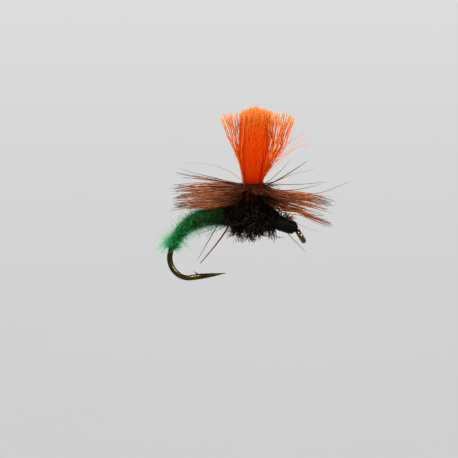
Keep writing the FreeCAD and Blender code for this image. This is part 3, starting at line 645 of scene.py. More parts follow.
def abdomen_zone(s):
    """0 at the tail, 1 at the thorax."""
    return np.clip((14.0 - s) / (14.0 - 7.4), 0, 0.999)


def abdomen_under(s, phi):
    """How far the belly is pulled in, where the dubbing is thinner below the shank."""
    return 0.17 * np.clip(-np.cos(phi), 0, 1) * smooth(np.clip((s - 7.6) / 1.2, 0, 1)) * smooth(np.clip((13.4 - s) / 1.4, 0, 1))


def make_abdomen():
    rng = np.random.default_rng(11)
    s = np.linspace(14.02, 7.25, 170)
    n = 56
    phi = np.linspace(0, 2 * np.pi, n, endpoint=False)
    S, F = np.meshgrid(s, phi, indexing="ij")
    wind = 0.5 + 0.5 * np.cos(2 * np.pi * S / 0.62 + F)          # the dubbed thread's turns
    lumps = sum(
        a * np.sin(f1 * S + f2 * F + p)
        for a, f1, f2, p in zip(rng.uniform(0.008, 0.02, 9), rng.uniform(1.5, 9, 9), rng.integers(1, 7, 9), rng.uniform(0, 6.3, 9))
    )
    R = abdomen_r(S) - 0.15 + 0.050 * wind + 1.3 * lumps - abdomen_under(S, F)
    R = np.maximum(R, 0.27)
    rings = around(S.ravel(), F.ravel(), R.ravel()).reshape(len(s), n, 3)
    core = skin("abdomen_core", rings, M_DUB_CORE)
    place(core, "abdomen_dubbing", slot="green_dubbing")

    # wound fibres, nearly square to the shank
    count, k = 3900, 8
    s0 = 14.0 - 6.75 * rng.random(count) ** 0.93
    p0 = rng.uniform(0, 2 * np.pi, count)
    length = rng.uniform(0.7, 1.9, count)
    tilt = rng.normal(0.25, 0.45, count)
    r0 = abdomen_r(s0)
    t = np.linspace(0, 1, k)[None, :]
    curl = rng.normal(0, 0.5, (count, 1))
    ss = s0[:, None] + length[:, None] * np.sin(tilt)[:, None] * (t - 0.5) + 0.12 * curl * np.sin(np.pi * t)
    ss = np.clip(ss, 7.2, 14.08)
    pp = p0[:, None] + length[:, None] * np.cos(tilt)[:, None] / np.maximum(r0, 0.3)[:, None] * (t - 0.5) * np.sign(rng.normal(size=(count, 1)) + 1.2)
    ridge = 0.045 * np.sin(5.1 * s0 + 2.0 * np.cos(p0) + 0.7) + 0.035 * np.sin(9.3 * s0 - 3 * p0)
    depth = rng.uniform(-0.10, 0.035, (count, 1)) + ridge[:, None]
    lift = rng.exponential(0.035, (count, 1)) * (2 * t - 1) ** 4 * 1.6
    wind = 0.5 + 0.5 * np.cos(2 * np.pi * ss / 0.62 + pp)
    rr = abdomen_r(ss) + depth + lift + 0.035 * wind + 0.015 * np.sin(9 * t + curl * 7) - abdomen_under(ss, pp)
    P = around(ss.ravel(), pp.ravel(), rr.ravel()).reshape(count, k, 3)
    w = rng.uniform(0.011, 0.018, (count, 1)) * (1 - 0.6 * np.abs(2 * t - 1) ** 3)
    mix = rng.random(count) ** 1.2
    zone = np.clip(abdomen_zone(s0) * 1.06 + rng.normal(0, 0.09, count), 0, 0.999)
    # painted shade and light: the underside is darker and the back paler, as the light falls from above
    zone = np.clip(zone + 0.24 * np.clip(-np.cos(p0) * 1.4 - 0.1, 0, 1) - 0.34 * np.clip(np.cos(p0) * 1.5 - 0.45, 0, 1), 0, 0.999)
    place(fibres("abdomen_fibres", P, w, M_DUB, zone=zone, mix=mix, seed=12), "abdomen_dubbing", slot="green_dubbing")

    # loops of dubbing that lift off the body and return to it
    count, k = 1500, 9
    s0 = 14.0 - 6.4 * rng.random(count)
    p0 = rng.uniform(0, 2 * np.pi, count)
    span = rng.uniform(0.35, 1.1, count)
    tilt = rng.uniform(0, 2 * np.pi, count)
    t = np.linspace(0, 1, k)[None, :]
    ss = np.clip(s0[:, None] + (span * np.sin(tilt))[:, None] * (t - 0.5), 7.3, 14.15)
    pp = p0[:, None] + (span * np.cos(tilt) / np.maximum(abdomen_r(s0), 0.3))[:, None] * (t - 0.5)
    high = (0.02 + rng.exponential(0.085, count))[:, None]
    rr = abdomen_r(ss) - 0.06 + high * 4 * t * (1 - t) + rng.normal(0, 0.02, (count, 1)) * np.sin(7 * t) - abdomen_under(ss, pp)
    P = around(ss.ravel(), pp.ravel(), rr.ravel()).reshape(count, k, 3)
    w = rng.uniform(0.008, 0.013, (count, 1)) * np.ones((1, k))
    # the same painted shade below and painted light on the back as for the wound fibres
    zone = np.clip(abdomen_zone(s0) * 1.06 + rng.normal(0, 0.06, count) + 0.2 * np.clip(-np.cos(p0) * 1.4 - 0.1, 0, 1) - 0.34 * np.clip(np.cos(p0) * 1.5 - 0.45, 0, 1), 0, 0.999)
    place(fibres("abdomen_loops", P, w, M_DUB, zone=zone, mix=rng.random(count) * 0.6, seed=16), "abdomen_dubbing", slot="green_dubbing")

    # fuzz that stands off the body
    def fuzz(name, count, seed, longest, mean, where, width, crest):
        rng = np.random.default_rng(seed)
        k = 7
        s0 = 14.1 - 6.5 * rng.random(count) ** where
        p0 = rng.uniform(0, 2 * np.pi, count)
        edge = rng.random(count) < crest
        p0[edge] = rng.choice([0.0, np.pi], edge.sum()) + rng.normal(0, 0.42, edge.sum())
        o, up, side, along = frame_at(s0)
        radial = up * np.cos(p0)[:, None] + side * np.sin(p0)[:, None]
        round_ = -up * np.sin(p0)[:, None] + side * np.cos(p0)[:, None]
        length = np.minimum(0.22 + rng.exponential(mean, count), longest)
        d0 = unit(radial + along * rng.normal(0.10, 0.45, count)[:, None] + round_ * rng.normal(0, 0.55, count)[:, None])
        axis = rng.normal(size=(count, 3))
        angle = np.radians(rng.normal(0, 70, count))
        root = o + radial * (abdomen_r(s0) - 0.08 - abdomen_under(s0, p0))[:, None]
        P = curls(root, d0, axis, angle, length, k)
        w = rng.uniform(width * 0.8, width * 1.25, (count, 1)) * (1 - 0.5 * np.linspace(0, 1, k)[None, :])
        place(fibres(name, P, w, M_FUZZ, zone=np.clip(abdomen_zone(s0) * 1.05, 0, 0.999), seed=seed + 1), "dubbing_fibres", slot="green_dubbing_fibre")

    fuzz("abdomen_fuzz", 4400, 13, 1.0, 0.20, 1.05, 0.0105, 0.84)
    fuzz("abdomen_haze", 2000, 17, 2.0, 0.50, 1.22, 0.0082, 0.74)

    # the loose wisp at the tail
    count, k = 250, 9
    s0 = rng.uniform(12.8, 14.0, count)
    p0 = rng.normal(0.0, 1.0, count)
    o, up, side, along = frame_at(s0)
    radial = up * np.cos(p0)[:, None] + side * np.sin(p0)[:, None]
    root = o + radial * (abdomen_r(s0) - 0.04)[:, None]
    aim = np.c_[rng.normal(-14.55, 0.42, count), rng.normal(0, 0.75, count), rng.normal(-1.15, 0.85, count)]
    aim[:, 0] = np.clip(aim[:, 0], -15.1, -13.6)
    reach = rng.uniform(0.35, 1.0, count)
    end = root + (aim - root) * reach[:, None]
    mid = (root + end) / 2 + rng.normal(0, 0.16, (count, 3)) + np.array([0, 0, 0.12])
    t = np.linspace(0, 1, k)[None, :, None]
    P = root[:, None] * (1 - t) ** 2 + 2 * mid[:, None] * t * (1 - t) + end[:, None] * t ** 2
    wob = rng.normal(0, 0.05, (count, 3))
    P = P + wob[:, None] * np.sin(2.2 * np.pi * t)
    w = rng.uniform(0.0060, 0.0088, (count, 1)) * (1 - 0.5 * np.linspace(0, 1, k)[None, :])
    place(fibres("tail_wisp", P, w, M_WISP, zone=0.1, seed=14), "dubbing_fibres", slot="green_dubbing_fibre")


make_abdomen()


# ---------------------------------------------------------------------------
# Thorax: two peacock herls wound together, with a flue of barbules
# ---------------------------------------------------------------------------
TH_S = [2.05, 2.40, 2.80, 3.40, 4.20, 5.10, 6.10, 6.90, 7.45, 7.75]
TH_R = [0.80, 0.92, 1.15, 1.55, 1.98, 2.12, 2.08, 1.75, 1.30, 1.05]


def make_thorax():
    rng = np.random.default_rng(21)
    s = np.linspace(7.72, 2.10, 120)
    n = 56
    phi = np.linspace(0, 2 * np.pi, n, endpoint=False)
    S, F = np.meshgrid(s, phi, indexing="ij")
    turns = 0.5 + 0.5 * np.cos(2 * np.pi * S / 0.48 + F)
    R = 0.74 + (np.interp(S, TH_S, TH_R) - 0.80) * 0.42 + 0.10 * turns
    R += 0.03 * np.sin(7 * F + 3.1 * S) + 0.02 * np.sin(11 * F - 5.3 * S)
    rings = around(S.ravel(), F.ravel(), R.ravel()).reshape(len(s), n, 3)
    place(skin("thorax_core", rings, M_HERL_CORE), "herl_flue", slot="herl_flue")

    # barbules spring from the quills in small locks that curl together
    def flue(name, locks, per, seed, low, high, width, turn, stray):
        rng = np.random.default_rng(seed)
        pitch = 0.42
        q = (np.arange(locks) + rng.uniform(-0.5, 0.5, locks)) / locks * (7.62 - 2.15) / pitch
        s0 = 2.15 + q * pitch
        p0 = 2 * np.pi * q * 1.0 + rng.normal(0, 0.5, locks)
        o, up, side, along = frame_at(s0)
        radial = up * np.cos(p0)[:, None] + side * np.sin(p0)[:, None]
        round_ = -up * np.sin(p0)[:, None] + side * np.cos(p0)[:, None]
        s0 = s0 + np.where(s0 > 6.9, rng.uniform(-0.3, 0.45, locks), 0.0)
        o, up, side, along = frame_at(s0)
        radial = up * np.cos(p0)[:, None] + side * np.sin(p0)[:, None]
        round_ = -up * np.sin(p0)[:, None] + side * np.cos(p0)[:, None]
        env = np.interp(s0, TH_S, TH_R)
        start = 0.66 + (env - 0.80) * 0.30
        crest = np.where((s0 > 2.3) & (s0 < 3.9), 0.30 * np.clip(np.cos(p0), 0, 1), 0.0)
        env = env * (1 + crest)
        d = unit(radial + along * rng.normal(0, 0.40, locks)[:, None] + round_ * rng.normal(0.25, 0.40, locks)[:, None])
        axis = rng.normal(size=(locks, 3))
        angle = np.radians(rng.normal(0, turn, locks))
        length = np.maximum(env * rng.uniform(low, high, locks) - start, 0.28) * (1 + 0.35 * np.abs(angle))
        which = np.repeat(np.arange(locks), rng.integers(per[0], per[1] + 1, locks))
        n = len(which)
        root = (o + radial * start[:, None])[which] + rng.normal(0, 0.055, (n, 3))
        d0 = unit(d[which] + rng.normal(0, stray, (n, 3)))
        ax = axis[which] + rng.normal(0, 0.25, (n, 3))
        an = angle[which] + np.radians(rng.normal(0, 16, n))
        ln = length[which] * rng.uniform(0.75, 1.1, n)
        k = 8
        P = curls(root, d0, ax, an, ln, k)
        w = rng.uniform(width * 0.7, width * 1.2, (n, 1)) * (1 - 0.72 * np.linspace(0, 1, k)[None, :] ** 1.6)
        # nothing grows through the wing post
        rad = np.hypot(P[:, :, 0] + 4.75, P[:, :, 1])
        hit = ((rad < 0.94) & (P[:, :, 2] > 2.9)).any(1)
        # the tips stay below the hackle's turns
        P[:, :, 2] = np.where(P[:, :, 2] > 4.30, 4.30 + 0.15 * (P[:, :, 2] - 4.30), P[:, :, 2])
        keep = ~hit
        zone = np.clip((s0[which] - 2.1) / 5.6, 0, 0.999)
        ob = fibres(name, P[keep], w[keep], M_HERL, zone=zone[keep], mix=rng.random(n)[keep] ** 1.7, sides=4, flat=0.42, seed=seed + 1)
        return place(ob, "herl_flue", slot="herl_flue")

    flue("herl_barbules_inner", 480, (4, 7), 22, 0.70, 0.98, 0.042, 70, 0.18)
    flue("herl_barbules_outer", 210, (5, 10), 24, 0.80, 1.22, 0.050, 110, 0.07)

    # barbules and fluff round the foot of the post, up to the hackle
    count, k = 1300, 7
    az = rng.uniform(0, 2 * np.pi, count)
    z0 = rng.uniform(2.5, 4.35, count)
    out = 0.95 + 0.15 * rng.random(count)
    root = np.c_[-4.75 + out * np.cos(az), out * np.sin(az), z0]
    d0 = np.c_[np.cos(az), np.sin(az), rng.normal(-0.35, 0.45, count)]
    reach = rng.uniform(0.35, 1.15, count) * np.interp(z0, [2.5, 3.6, 4.35], [1.25, 1.0, 0.75])
    P = curls(root, d0, rng.normal(size=(count, 3)), np.radians(rng.normal(0, 55, count)), reach, k)
    P[:, :, 2] = np.where(P[:, :, 2] > 4.45, 4.45 + 0.1 * (P[:, :, 2] - 4.45), P[:, :, 2])
    w = rng.uniform(0.026, 0.042, (count, 1)) * (1 - 0.7 * np.linspace(0, 1, k)[None, :] ** 1.5)
    place(fibres("herl_collar", P, w, M_HERL, zone=0.5, sides=4, flat=0.45, seed=28), "herl_flue", slot="herl_flue")
    count, k = 260, 7
    az = np.where(rng.random(count) < 0.6, rng.normal(4.80, 0.22, count), rng.uniform(0, 2 * np.pi, count))
    root = np.c_[-4.75 + 1.05 * np.cos(az), 1.05 * np.sin(az), rng.uniform(3.7, 4.4, count)]
    d0 = np.c_[0.45 * np.cos(az), 0.45 * np.sin(az), rng.uniform(0.5, 1.2, count)]
    P = curls(root, d0, rng.normal(size=(count, 3)), np.radians(rng.normal(0, 50, count)), rng.uniform(0.35, 0.85, count), k)
    P[:, :, 2] = np.minimum(P[:, :, 2], 5.05)
    w = rng.uniform(0.028, 0.044, (count, 1)) * (1 - 0.7 * np.linspace(0, 1, k)[None, :] ** 1.5)
    place(fibres("hub_fluff", P, w, M_HERL, zone=0.5, mix=rng.random(count) * 0.5, sides=4, flat=0.45, seed=29), "herl_flue", slot="herl_flue")

    # tufts that hang below, and short ones that rise in front of the hackle
    rng = np.random.default_rng(26)
    roots, tips = [], []
    for (x, z), cnt, spread in (
        ((-6.98, -0.25), 11, 0.14), ((-6.72, -0.12), 8, 0.16), ((-5.98, -0.72), 18, 0.15), ((-5.60, -0.45), 10, 0.18),
        ((-5.13, -0.74), 17, 0.16), ((-4.64, -0.60), 12, 0.16), ((-4.10, -0.42), 14, 0.16), ((-3.50, -0.10), 8, 0.20),
        ((-2.84, -0.60), 11, 0.11), ((-2.26, -0.58), 8, 0.09), ((-2.55, -0.10), 6, 0.16),
    ):
        for _ in range(cnt):
            tx, tz = x + rng.normal(0, spread), z + rng.normal(0, spread * 0.8)
            ty = rng.normal(0, 0.55)
            tips.append((tx, ty, tz))
            rx = tx * 0.82 + -4.6 * 0.18 + rng.normal(0, 0.12)
            roots.append((rx, ty * 0.55, 1.05 + rng.normal(0, 0.12) - 0.10 * (rx + 4.6)))
    for (x, z), cnt, spread in (((-2.02, 2.30), 9, 0.14), ((-1.60, 2.16), 8, 0.14), ((-1.36, 2.40), 6, 0.10), ((-2.45, 2.75), 8, 0.18)):
        for _ in range(cnt):
            tx, tz = x + rng.normal(0, spread), z + rng.normal(0, spread * 0.7)
            ty = rng.normal(0, 0.40)
            tips.append((tx, ty, tz))
            roots.append((tx - 0.30 + rng.normal(0, 0.08), ty * 0.6, 1.45 + rng.normal(0, 0.08) + 0.12 * (-2.0 - tx)))
    roots, tips = np.array(roots), np.array(tips)
    k = 7
    t = np.linspace(0, 1, k)[None, :, None]
    bend = np.repeat(rng.normal(0, 0.42, (len(roots) // 4 + 1, 3)), 4, axis=0)[: len(roots)]
    mid = (roots + tips) / 2 + bend + rng.normal(0, 0.08, roots.shape)
    P = roots[:, None] * (1 - t) ** 2 + 2 * mid[:, None] * t * (1 - t) + tips[:, None] * t ** 2
    hook = np.repeat(rng.normal(0, 0.26, (len(roots) // 4 + 1, 3)), 4, axis=0)[: len(roots)] + rng.normal(0, 0.05, roots.shape)
    hook[:, 2] = np.abs(hook[:, 2]) * 0.6
    P = P + hook[:, None] * t ** 3 + 0.35 * hook[:, None, ::-1] * np.sin(2 * np.pi * t) * t
    w = rng.uniform(0.046, 0.070, (len(P), 1)) * (1 - 0.70 * np.linspace(0, 1, k)[None, :] ** 1.6)
    place(fibres("herl_tufts", P, w, M_HERL, zone=0.5, sides=4, flat=0.45, seed=27), "herl_flue", slot="herl_flue")


make_thorax()


# ---------------------------------------------------------------------------
# Wing post: filaments of poly yarn, bound at the foot and fanned at the top
# ---------------------------------------------------------------------------
POST = np.array([-4.75, 0.0])
# heights, then the side outlines of the dense column and of the whole fan
UP_Z = [2.66, 4.20, 5.04, 5.60, 6.30, 7.00, 7.84, 8.90, 9.60, 10.55, 11.70, 12.90]
COL_L = [-5.35, -5.45, -5.56, -5.62, -5.74, -5.86, -5.96, -5.97, -5.94, -5.90, -5.84, -5.80]
COL_R = [-4.15, -4.05, -3.93, -3.88, -3.76, -3.58, -3.38, -3.30, -3.26, -3.22, -3.16, -3.08]
FAN_L = [-5.38, -5.48, -5.60, -5.70, -5.86, -6.02, -6.30, -6.88, -7.18, -7.52, -8.02, -8.50]
FAN_R = [-4.12, -4.02, -3.90, -3.76, -3.46, -2.86, -2.30, -1.62, -1.30, -0.98, -0.56, -0.20]
DEEP = [0.58, 0.68, 0.80, 0.86, 0.98, 1.12, 1.28, 1.45, 1.55, 1.66, 1.76, 1.84]


def post_top(x):
    """Height of the cut top of the fan over x."""
    return np.interp(
        x,
        [-8.3, -8.1, -7.55, -6.9, -6.0, -5.6, -5.1, -4.5, -3.9, -3.0, -2.0, -1.1, -0.5],
        [11.55, 11.72, 12.02, 12.18, 12.34, 12.48, 12.66, 12.88, 12.64, 12.33, 12.15, 11.95, 11.64],
    )


def filament_bundle(name, place_x, depth, top_jitter, radius, zone, mix, seed, wave, node="wing_post", slot="orange_yarn", short=0.0, group=None):
    """Filaments of the post. place_x gives each one's x at every height, (n, heights)."""
    rng = np.random.default_rng(seed)
    n = len(depth)
    k = 16
    zs = np.array(UP_Z)
    tip_x = place_x[:, -2]
    tip_z = post_top(tip_x) - 0.05 * np.abs(depth) ** 2 * 3 + top_jitter - short
    s = np.linspace(0, 1, k)
    Z = 2.66 + (tip_z - 2.66)[:, None] * s[None, :]
    X = np.empty((n, k))
    Y = np.empty((n, k))
    for i in range(n):
        X[i] = np.interp(Z[i], zs, place_x[i])
    D = np.interp(Z.ravel(), zs, DEEP).reshape(n, k)
    Y[:] = D * depth[:, None]
    for _ in range(2):
        X[:, 1:-1] = (X[:, :-2] + 2 * X[:, 1:-1] + X[:, 2:]) / 4
    grow = smooth((Z - 5.4) / 4.0)
    for arr in (X, Y):
        for octave in (1.0, 2.3, 5.0):
            if group is None:
                amp = rng.normal(0, wave / octave ** 0.9, (n, 1))
                freq = rng.uniform(2.5, 6.5, (n, 1)) * octave
                phase = rng.uniform(0, 6.28, (n, 1))
            else:
                m = group.max() + 1
                amp = rng.normal(0, wave / octave ** 0.7, (m, 1))[group] + rng.normal(0, wave * 0.16, (n, 1))
                freq = (rng.uniform(3.0, 6.5, (m, 1)) * octave)[group]
                phase = rng.uniform(0, 6.28, (m, 1))[group] + rng.normal(0, 0.2, (n, 1))
            arr += amp * np.sin(freq * s[None, :] * 3.1 + phase) * grow
    P = np.stack([X, Y, Z], -1)
    R = radius[:, None] * np.ones((1, k))
    ob = fibres(name, P, R, M_YARN, zone=zone, mix=mix, seed=seed + 1)
    return place(ob, node, slot=slot)


def make_post():
    rng = np.random.default_rng(31)
    col_l, col_r, fan_l, fan_r = map(np.array, (COL_L, COL_R, FAN_L, FAN_R))

    # the dense middle column, fine filaments in two halves
    for half, (name, seed) in enumerate((("yarn_middle_a", 32), ("yarn_middle_b", 33))):
        n = 2100
        loose = rng.random(n) < 0.70
        q = rng.uniform(0.0, 1.0, n)
        strands = rng.uniform(0.0, 1.0, 60)
        q[~loose] = strands[rng.integers(0, 60, (~loose).sum())] + rng.normal(0, 0.014, (~loose).sum())
        # the column's own sides are soft: some filaments stray out of it
        q = q + rng.normal(0, 0.045, n) * (rng.random(n) < 0.5)
        spread = np.interp(np.array(UP_Z), [2.6, 7.0, 12.9], [0.0, 0.0, 1.0])
        splay = rng.normal(0.03, 0.17, n) * (rng.random(n) < 0.50)
        depth = np.sin(rng.uniform(-np.pi / 2, np.pi / 2, n)) * np.sqrt(np.clip(1 - np.clip(np.abs(2 * q - 1), 0, 0.97) ** 4, 0.15, 1))
        X = col_l[None] + (col_r - col_l)[None] * q[:, None] + splay[:, None] * spread[None]
        uneven = -0.22 + rng.normal(0, 0.12, n) + 0.16 * np.sin(q * 29.0 + depth * 3.0) * rng.random(n) - rng.exponential(0.30, n) * (rng.random(n) < 0.40) + 0.26 * (rng.random(n) < 0.05)
        filament_bundle(
            name, X, depth, uneven, rng.uniform(0.012, 0.018, n), 0.06 + 0.20 * rng.random(n), rng.random(n) ** 1.4, seed, 0.042,
        )

    # the open fringes each side: strands that leave the column's edge
    def fringe(name, edge, outline, clumps, per, spread, seed, wave, zone_lo, zone_hi, width):
        rng = np.random.default_rng(seed)
        c = -0.22 + 1.22 * np.clip((np.arange(clumps) + rng.uniform(0.05, 0.95, clumps)) / clumps, 0.0, 1.0)
        d = rng.normal(0, 0.45, clumps)
        d[c < 0.05] = rng.choice([-0.93, 0.93], (c < 0.05).sum())
        z = rng.uniform(zone_lo, zone_hi, clumps)
        z[c < 0.06] = rng.uniform(0.15, 0.45, (c < 0.06).sum())
        shade = rng.random(clumps) ** 1.5
        per_each = rng.integers(per[0], per[1] + 1, clumps)
        which = np.repeat(np.arange(clumps), per_each)
        n = len(which)
        q = np.clip(c[which] + rng.normal(0, spread, n), -0.35, 1.03)
        depth = np.clip(d[which] + rng.normal(0, 0.05, n), -0.98, 0.98)
        X = edge[None] + (outline - edge)[None] * q[:, None]
        zone = np.clip(z[which] + rng.normal(0, 0.05, n), 0.0, 0.999)
        filament_bundle(
            name, X, depth, rng.normal(0, 0.13, n) - 0.35 * (rng.random(n) < 0.10), rng.uniform(width * 0.8, width * 1.25, n),
            zone, np.clip(shade[which] + rng.normal(0, 0.1, n), 0, 1), seed + 1, wave, group=which,
        )

    fringe("yarn_fringe_rear", col_l, fan_l, 22, (3, 6), 0.010, 34, 0.070, 0.50, 1.0, 0.022)
    fringe("yarn_fringe_front", col_r, fan_r, 34, (3, 6), 0.008, 36, 0.080, 0.42, 0.95, 0.022)
    # a few dark red strands where the column meets its right fringe
    n = 16
    q = rng.uniform(-0.02, 0.03, n)
    X = col_r[None] + (fan_r - col_r)[None] * q[:, None]
    filament_bundle("yarn_seam", X, np.full(n, -0.93) + rng.normal(0, 0.02, n), rng.normal(0, 0.1, n) - 1.2, rng.uniform(0.016, 0.022, n), np.zeros(n), np.ones(n), 38, 0.03)

    # single filaments that have sprung out of the bundle
    lines = [
        ([(-4.15, 0.2, 5.4), (-3.2, 0.3, 6.6), (-1.9, 0.4, 8.7), (-1.1, 0.5, 9.35), (0.1, 0.55, 10.0), (0.86, 0.6, 10.35)], 0.028),
        ([(-4.10, -0.2, 5.4), (-3.0, -0.3, 6.9), (-1.8, -0.4, 7.9), (-0.6, -0.5, 8.75), (0.4, -0.55, 9.15), (1.05, -0.6, 9.22)], 0.032),
        ([(-4.20, 0.1, 5.4), (-2.9, 0.3, 7.3), (-1.7, 0.4, 8.4), (-1.0, 0.45, 9.3), (-0.62, 0.5, 10.3), (-0.68, 0.5, 11.75)], 0.022),
        ([(-4.20, -0.1, 5.4), (-3.1, -0.2, 7.0), (-1.9, -0.3, 8.0), (-0.7, -0.35, 9.0), (0.1, -0.4, 9.6), (0.7, -0.4, 10.1)], 0.022),
        ([(-5.45, 0.1, 5.3), (-5.75, 0.1, 6.9), (-6.15, 0.1, 8.04), (-7.13, 0.1, 9.49), (-7.48, 0.1, 10.54), (-8.15, 0.1, 11.80)], 0.034),
        ([(-5.40, -0.2, 5.2), (-5.75, -0.3, 6.3), (-6.05, -0.4, 7.0), (-6.35, -0.4, 7.5), (-6.6, -0.4, 7.8), (-6.72, -0.4, 8.05)], 0.022),
        ([(-4.10, 0.3, 5.3), (-3.4, 0.4, 6.2), (-2.9, 0.5, 6.8), (-1.9, 0.6, 8.0), (-1.2, 0.6, 9.6), (-0.65, 0.6, 11.5)], 0.030),
        ([(-4.05, -0.4, 5.3), (-3.5, -0.5, 6.0), (-2.7, -0.6, 6.9), (-1.75, -0.7, 7.6), (-1.05, -0.7, 8.5), (-0.55, -0.7, 8.9)], 0.026),
    ]
    k = 15
    P, R = [], []
    for pts, r in lines:
        pts = np.array(pts)
        d = np.r_[0, np.cumsum(np.linalg.norm(np.diff(pts, axis=0), axis=1))]
        q = np.linspace(0, d[-1], k)
        line = np.stack([np.interp(q, d, pts[:, a]) for a in range(3)], -1)
        for _ in range(3):
            line[1:-1] = (line[:-2] + 2 * line[1:-1] + line[2:]) / 4
        P.append(line)
        R.append(np.full(k, r) * (1 - 0.35 * np.linspace(0, 1, k)))
    place(fibres("yarn_strays", np.array(P), np.array(R), M_YARN, zone=0.72, mix=0.75, sides=5, seed=39), "wing_fringe", slot="orange_filament")


make_post()


# ---------------------------------------------------------------------------
# Hackle: barbs in an umbrella round the foot of the post
# ---------------------------------------------------------------------------
# height of the lowest and highest barbs over distance from the post, by azimuth
RHO = np.array([1.0, 1.7, 2.4, 3.4, 4.8, 6.0, 7.0, 8.3])
LEVELS = np.array([0.0, 0.25, 0.5, 0.75, 1.0])
GUIDES = {
    0: [
        [4.35, 3.40, 2.62, 2.26, 2.06, 1.42, 0.92, 0.50],
        [4.45, 3.75, 3.20, 2.90, 2.72, 1.95, 1.55, 1.25],
        [4.60, 4.25, 3.90, 3.60, 3.36, 3.20, 3.00, 2.55],
        [4.75, 4.45, 4.20, 4.02, 3.90, 3.75, 3.52, 3.00],
        [4.98, 4.78, 4.50, 4.40, 4.36, 4.22, 4.00, 3.50],
    ],
    60: [
        [4.35, 3.90, 3.60, 3.30, 3.00, 2.80, 2.65, 2.50],
        [4.45, 4.10, 3.85, 3.60, 3.35, 3.15, 3.00, 2.85],
        [4.60, 4.30, 4.10, 3.85, 3.65, 3.50, 3.35, 3.20],
        [4.75, 4.50, 4.30, 4.10, 3.95, 3.80, 3.65, 3.50],
        [4.95, 4.75, 4.60, 4.40, 4.25, 4.10, 4.00, 3.85],
    ],
    120: [
        [4.35, 4.10, 3.90, 3.70, 3.50, 3.35, 3.25, 3.15],
        [4.50, 4.30, 4.15, 4.00, 3.90, 3.80, 3.75, 3.70],
        [4.65, 4.55, 4.45, 4.35, 4.30, 4.25, 4.20, 4.20],
        [4.80, 4.72, 4.62, 4.52, 4.46, 4.42, 4.40, 4.42],
        [5.05, 5.05, 5.00, 4.95, 4.92, 4.92, 4.95, 5.00],
    ],
    180: [
        [4.35, 3.85, 3.45, 3.12, 2.86, 2.72, 2.64, 2.54],
        [4.50, 4.35, 4.18, 4.00, 3.80, 3.66, 3.58, 3.52],
        [4.65, 4.62, 4.60, 4.58, 4.54, 4.46, 4.38, 4.26],
        [4.88, 5.00, 5.12, 5.24, 5.32, 5.28, 5.16, 4.92],
        [5.16, 5.30, 5.42, 5.66, 5.92, 6.08, 6.35, 6.55],
    ],
    240: [
        [4.20, 3.55, 3.15, 3.05, 3.10, 3.15, 3.20, 3.25],
        [4.40, 3.92, 3.60, 3.45, 3.40, 3.40, 3.40, 3.42],
        [4.60, 4.45, 4.30, 4.15, 4.05, 3.95, 3.90, 3.85],
        [4.75, 4.65, 4.55, 4.45, 4.35, 4.30, 4.25, 4.20],
        [4.95, 4.90, 4.85, 4.80, 4.75, 4.70, 4.70, 4.65],
    ],
    300: [
        [4.20, 3.60, 3.20, 3.00, 2.85, 2.78, 2.72, 2.66],
        [4.40, 3.95, 3.62, 3.42, 3.26, 3.15, 3.06, 3.00],
        [4.60, 4.35, 4.15, 3.95, 3.80, 3.70, 3.60, 3.50],
        [4.75, 4.55, 4.40, 4.25, 4.15, 4.05, 4.00, 3.95],
        [4.95, 4.80, 4.70, 4.60, 4.50, 4.45, 4.40, 4.35],
    ],
}
GUIDE_TABLE = np.array([GUIDES[a] for a in sorted(GUIDES)])


def barb_height(azimuth, level, rho):
    """Height of a barb at azimuth (degrees), level (0 to 1) and distance rho."""
    a = (azimuth % 360) / 60.0
    i0 = np.floor(a).astype(int) % 6
    f = smooth(a - np.floor(a))
    lv = np.clip(level, 0, 1) * 4
    l0 = np.minimum(np.floor(lv).astype(int), 3)
    g = lv - l0
    r = np.interp(rho, RHO, np.arange(len(RHO)))
    r0 = np.minimum(np.floor(r).astype(int), len(RHO) - 2)
    h = r - r0

    def at(i, l):
        return GUIDE_TABLE[i, l, r0] * (1 - h) + GUIDE_TABLE[i, l, r0 + 1] * h

    low = at(i0, l0) * (1 - g) + at(i0, l0 + 1) * g
    nxt = (i0 + 1) % 6
    high = at(nxt, l0) * (1 - g) + at(nxt, l0 + 1) * g
    return low * (1 - f) + high * f


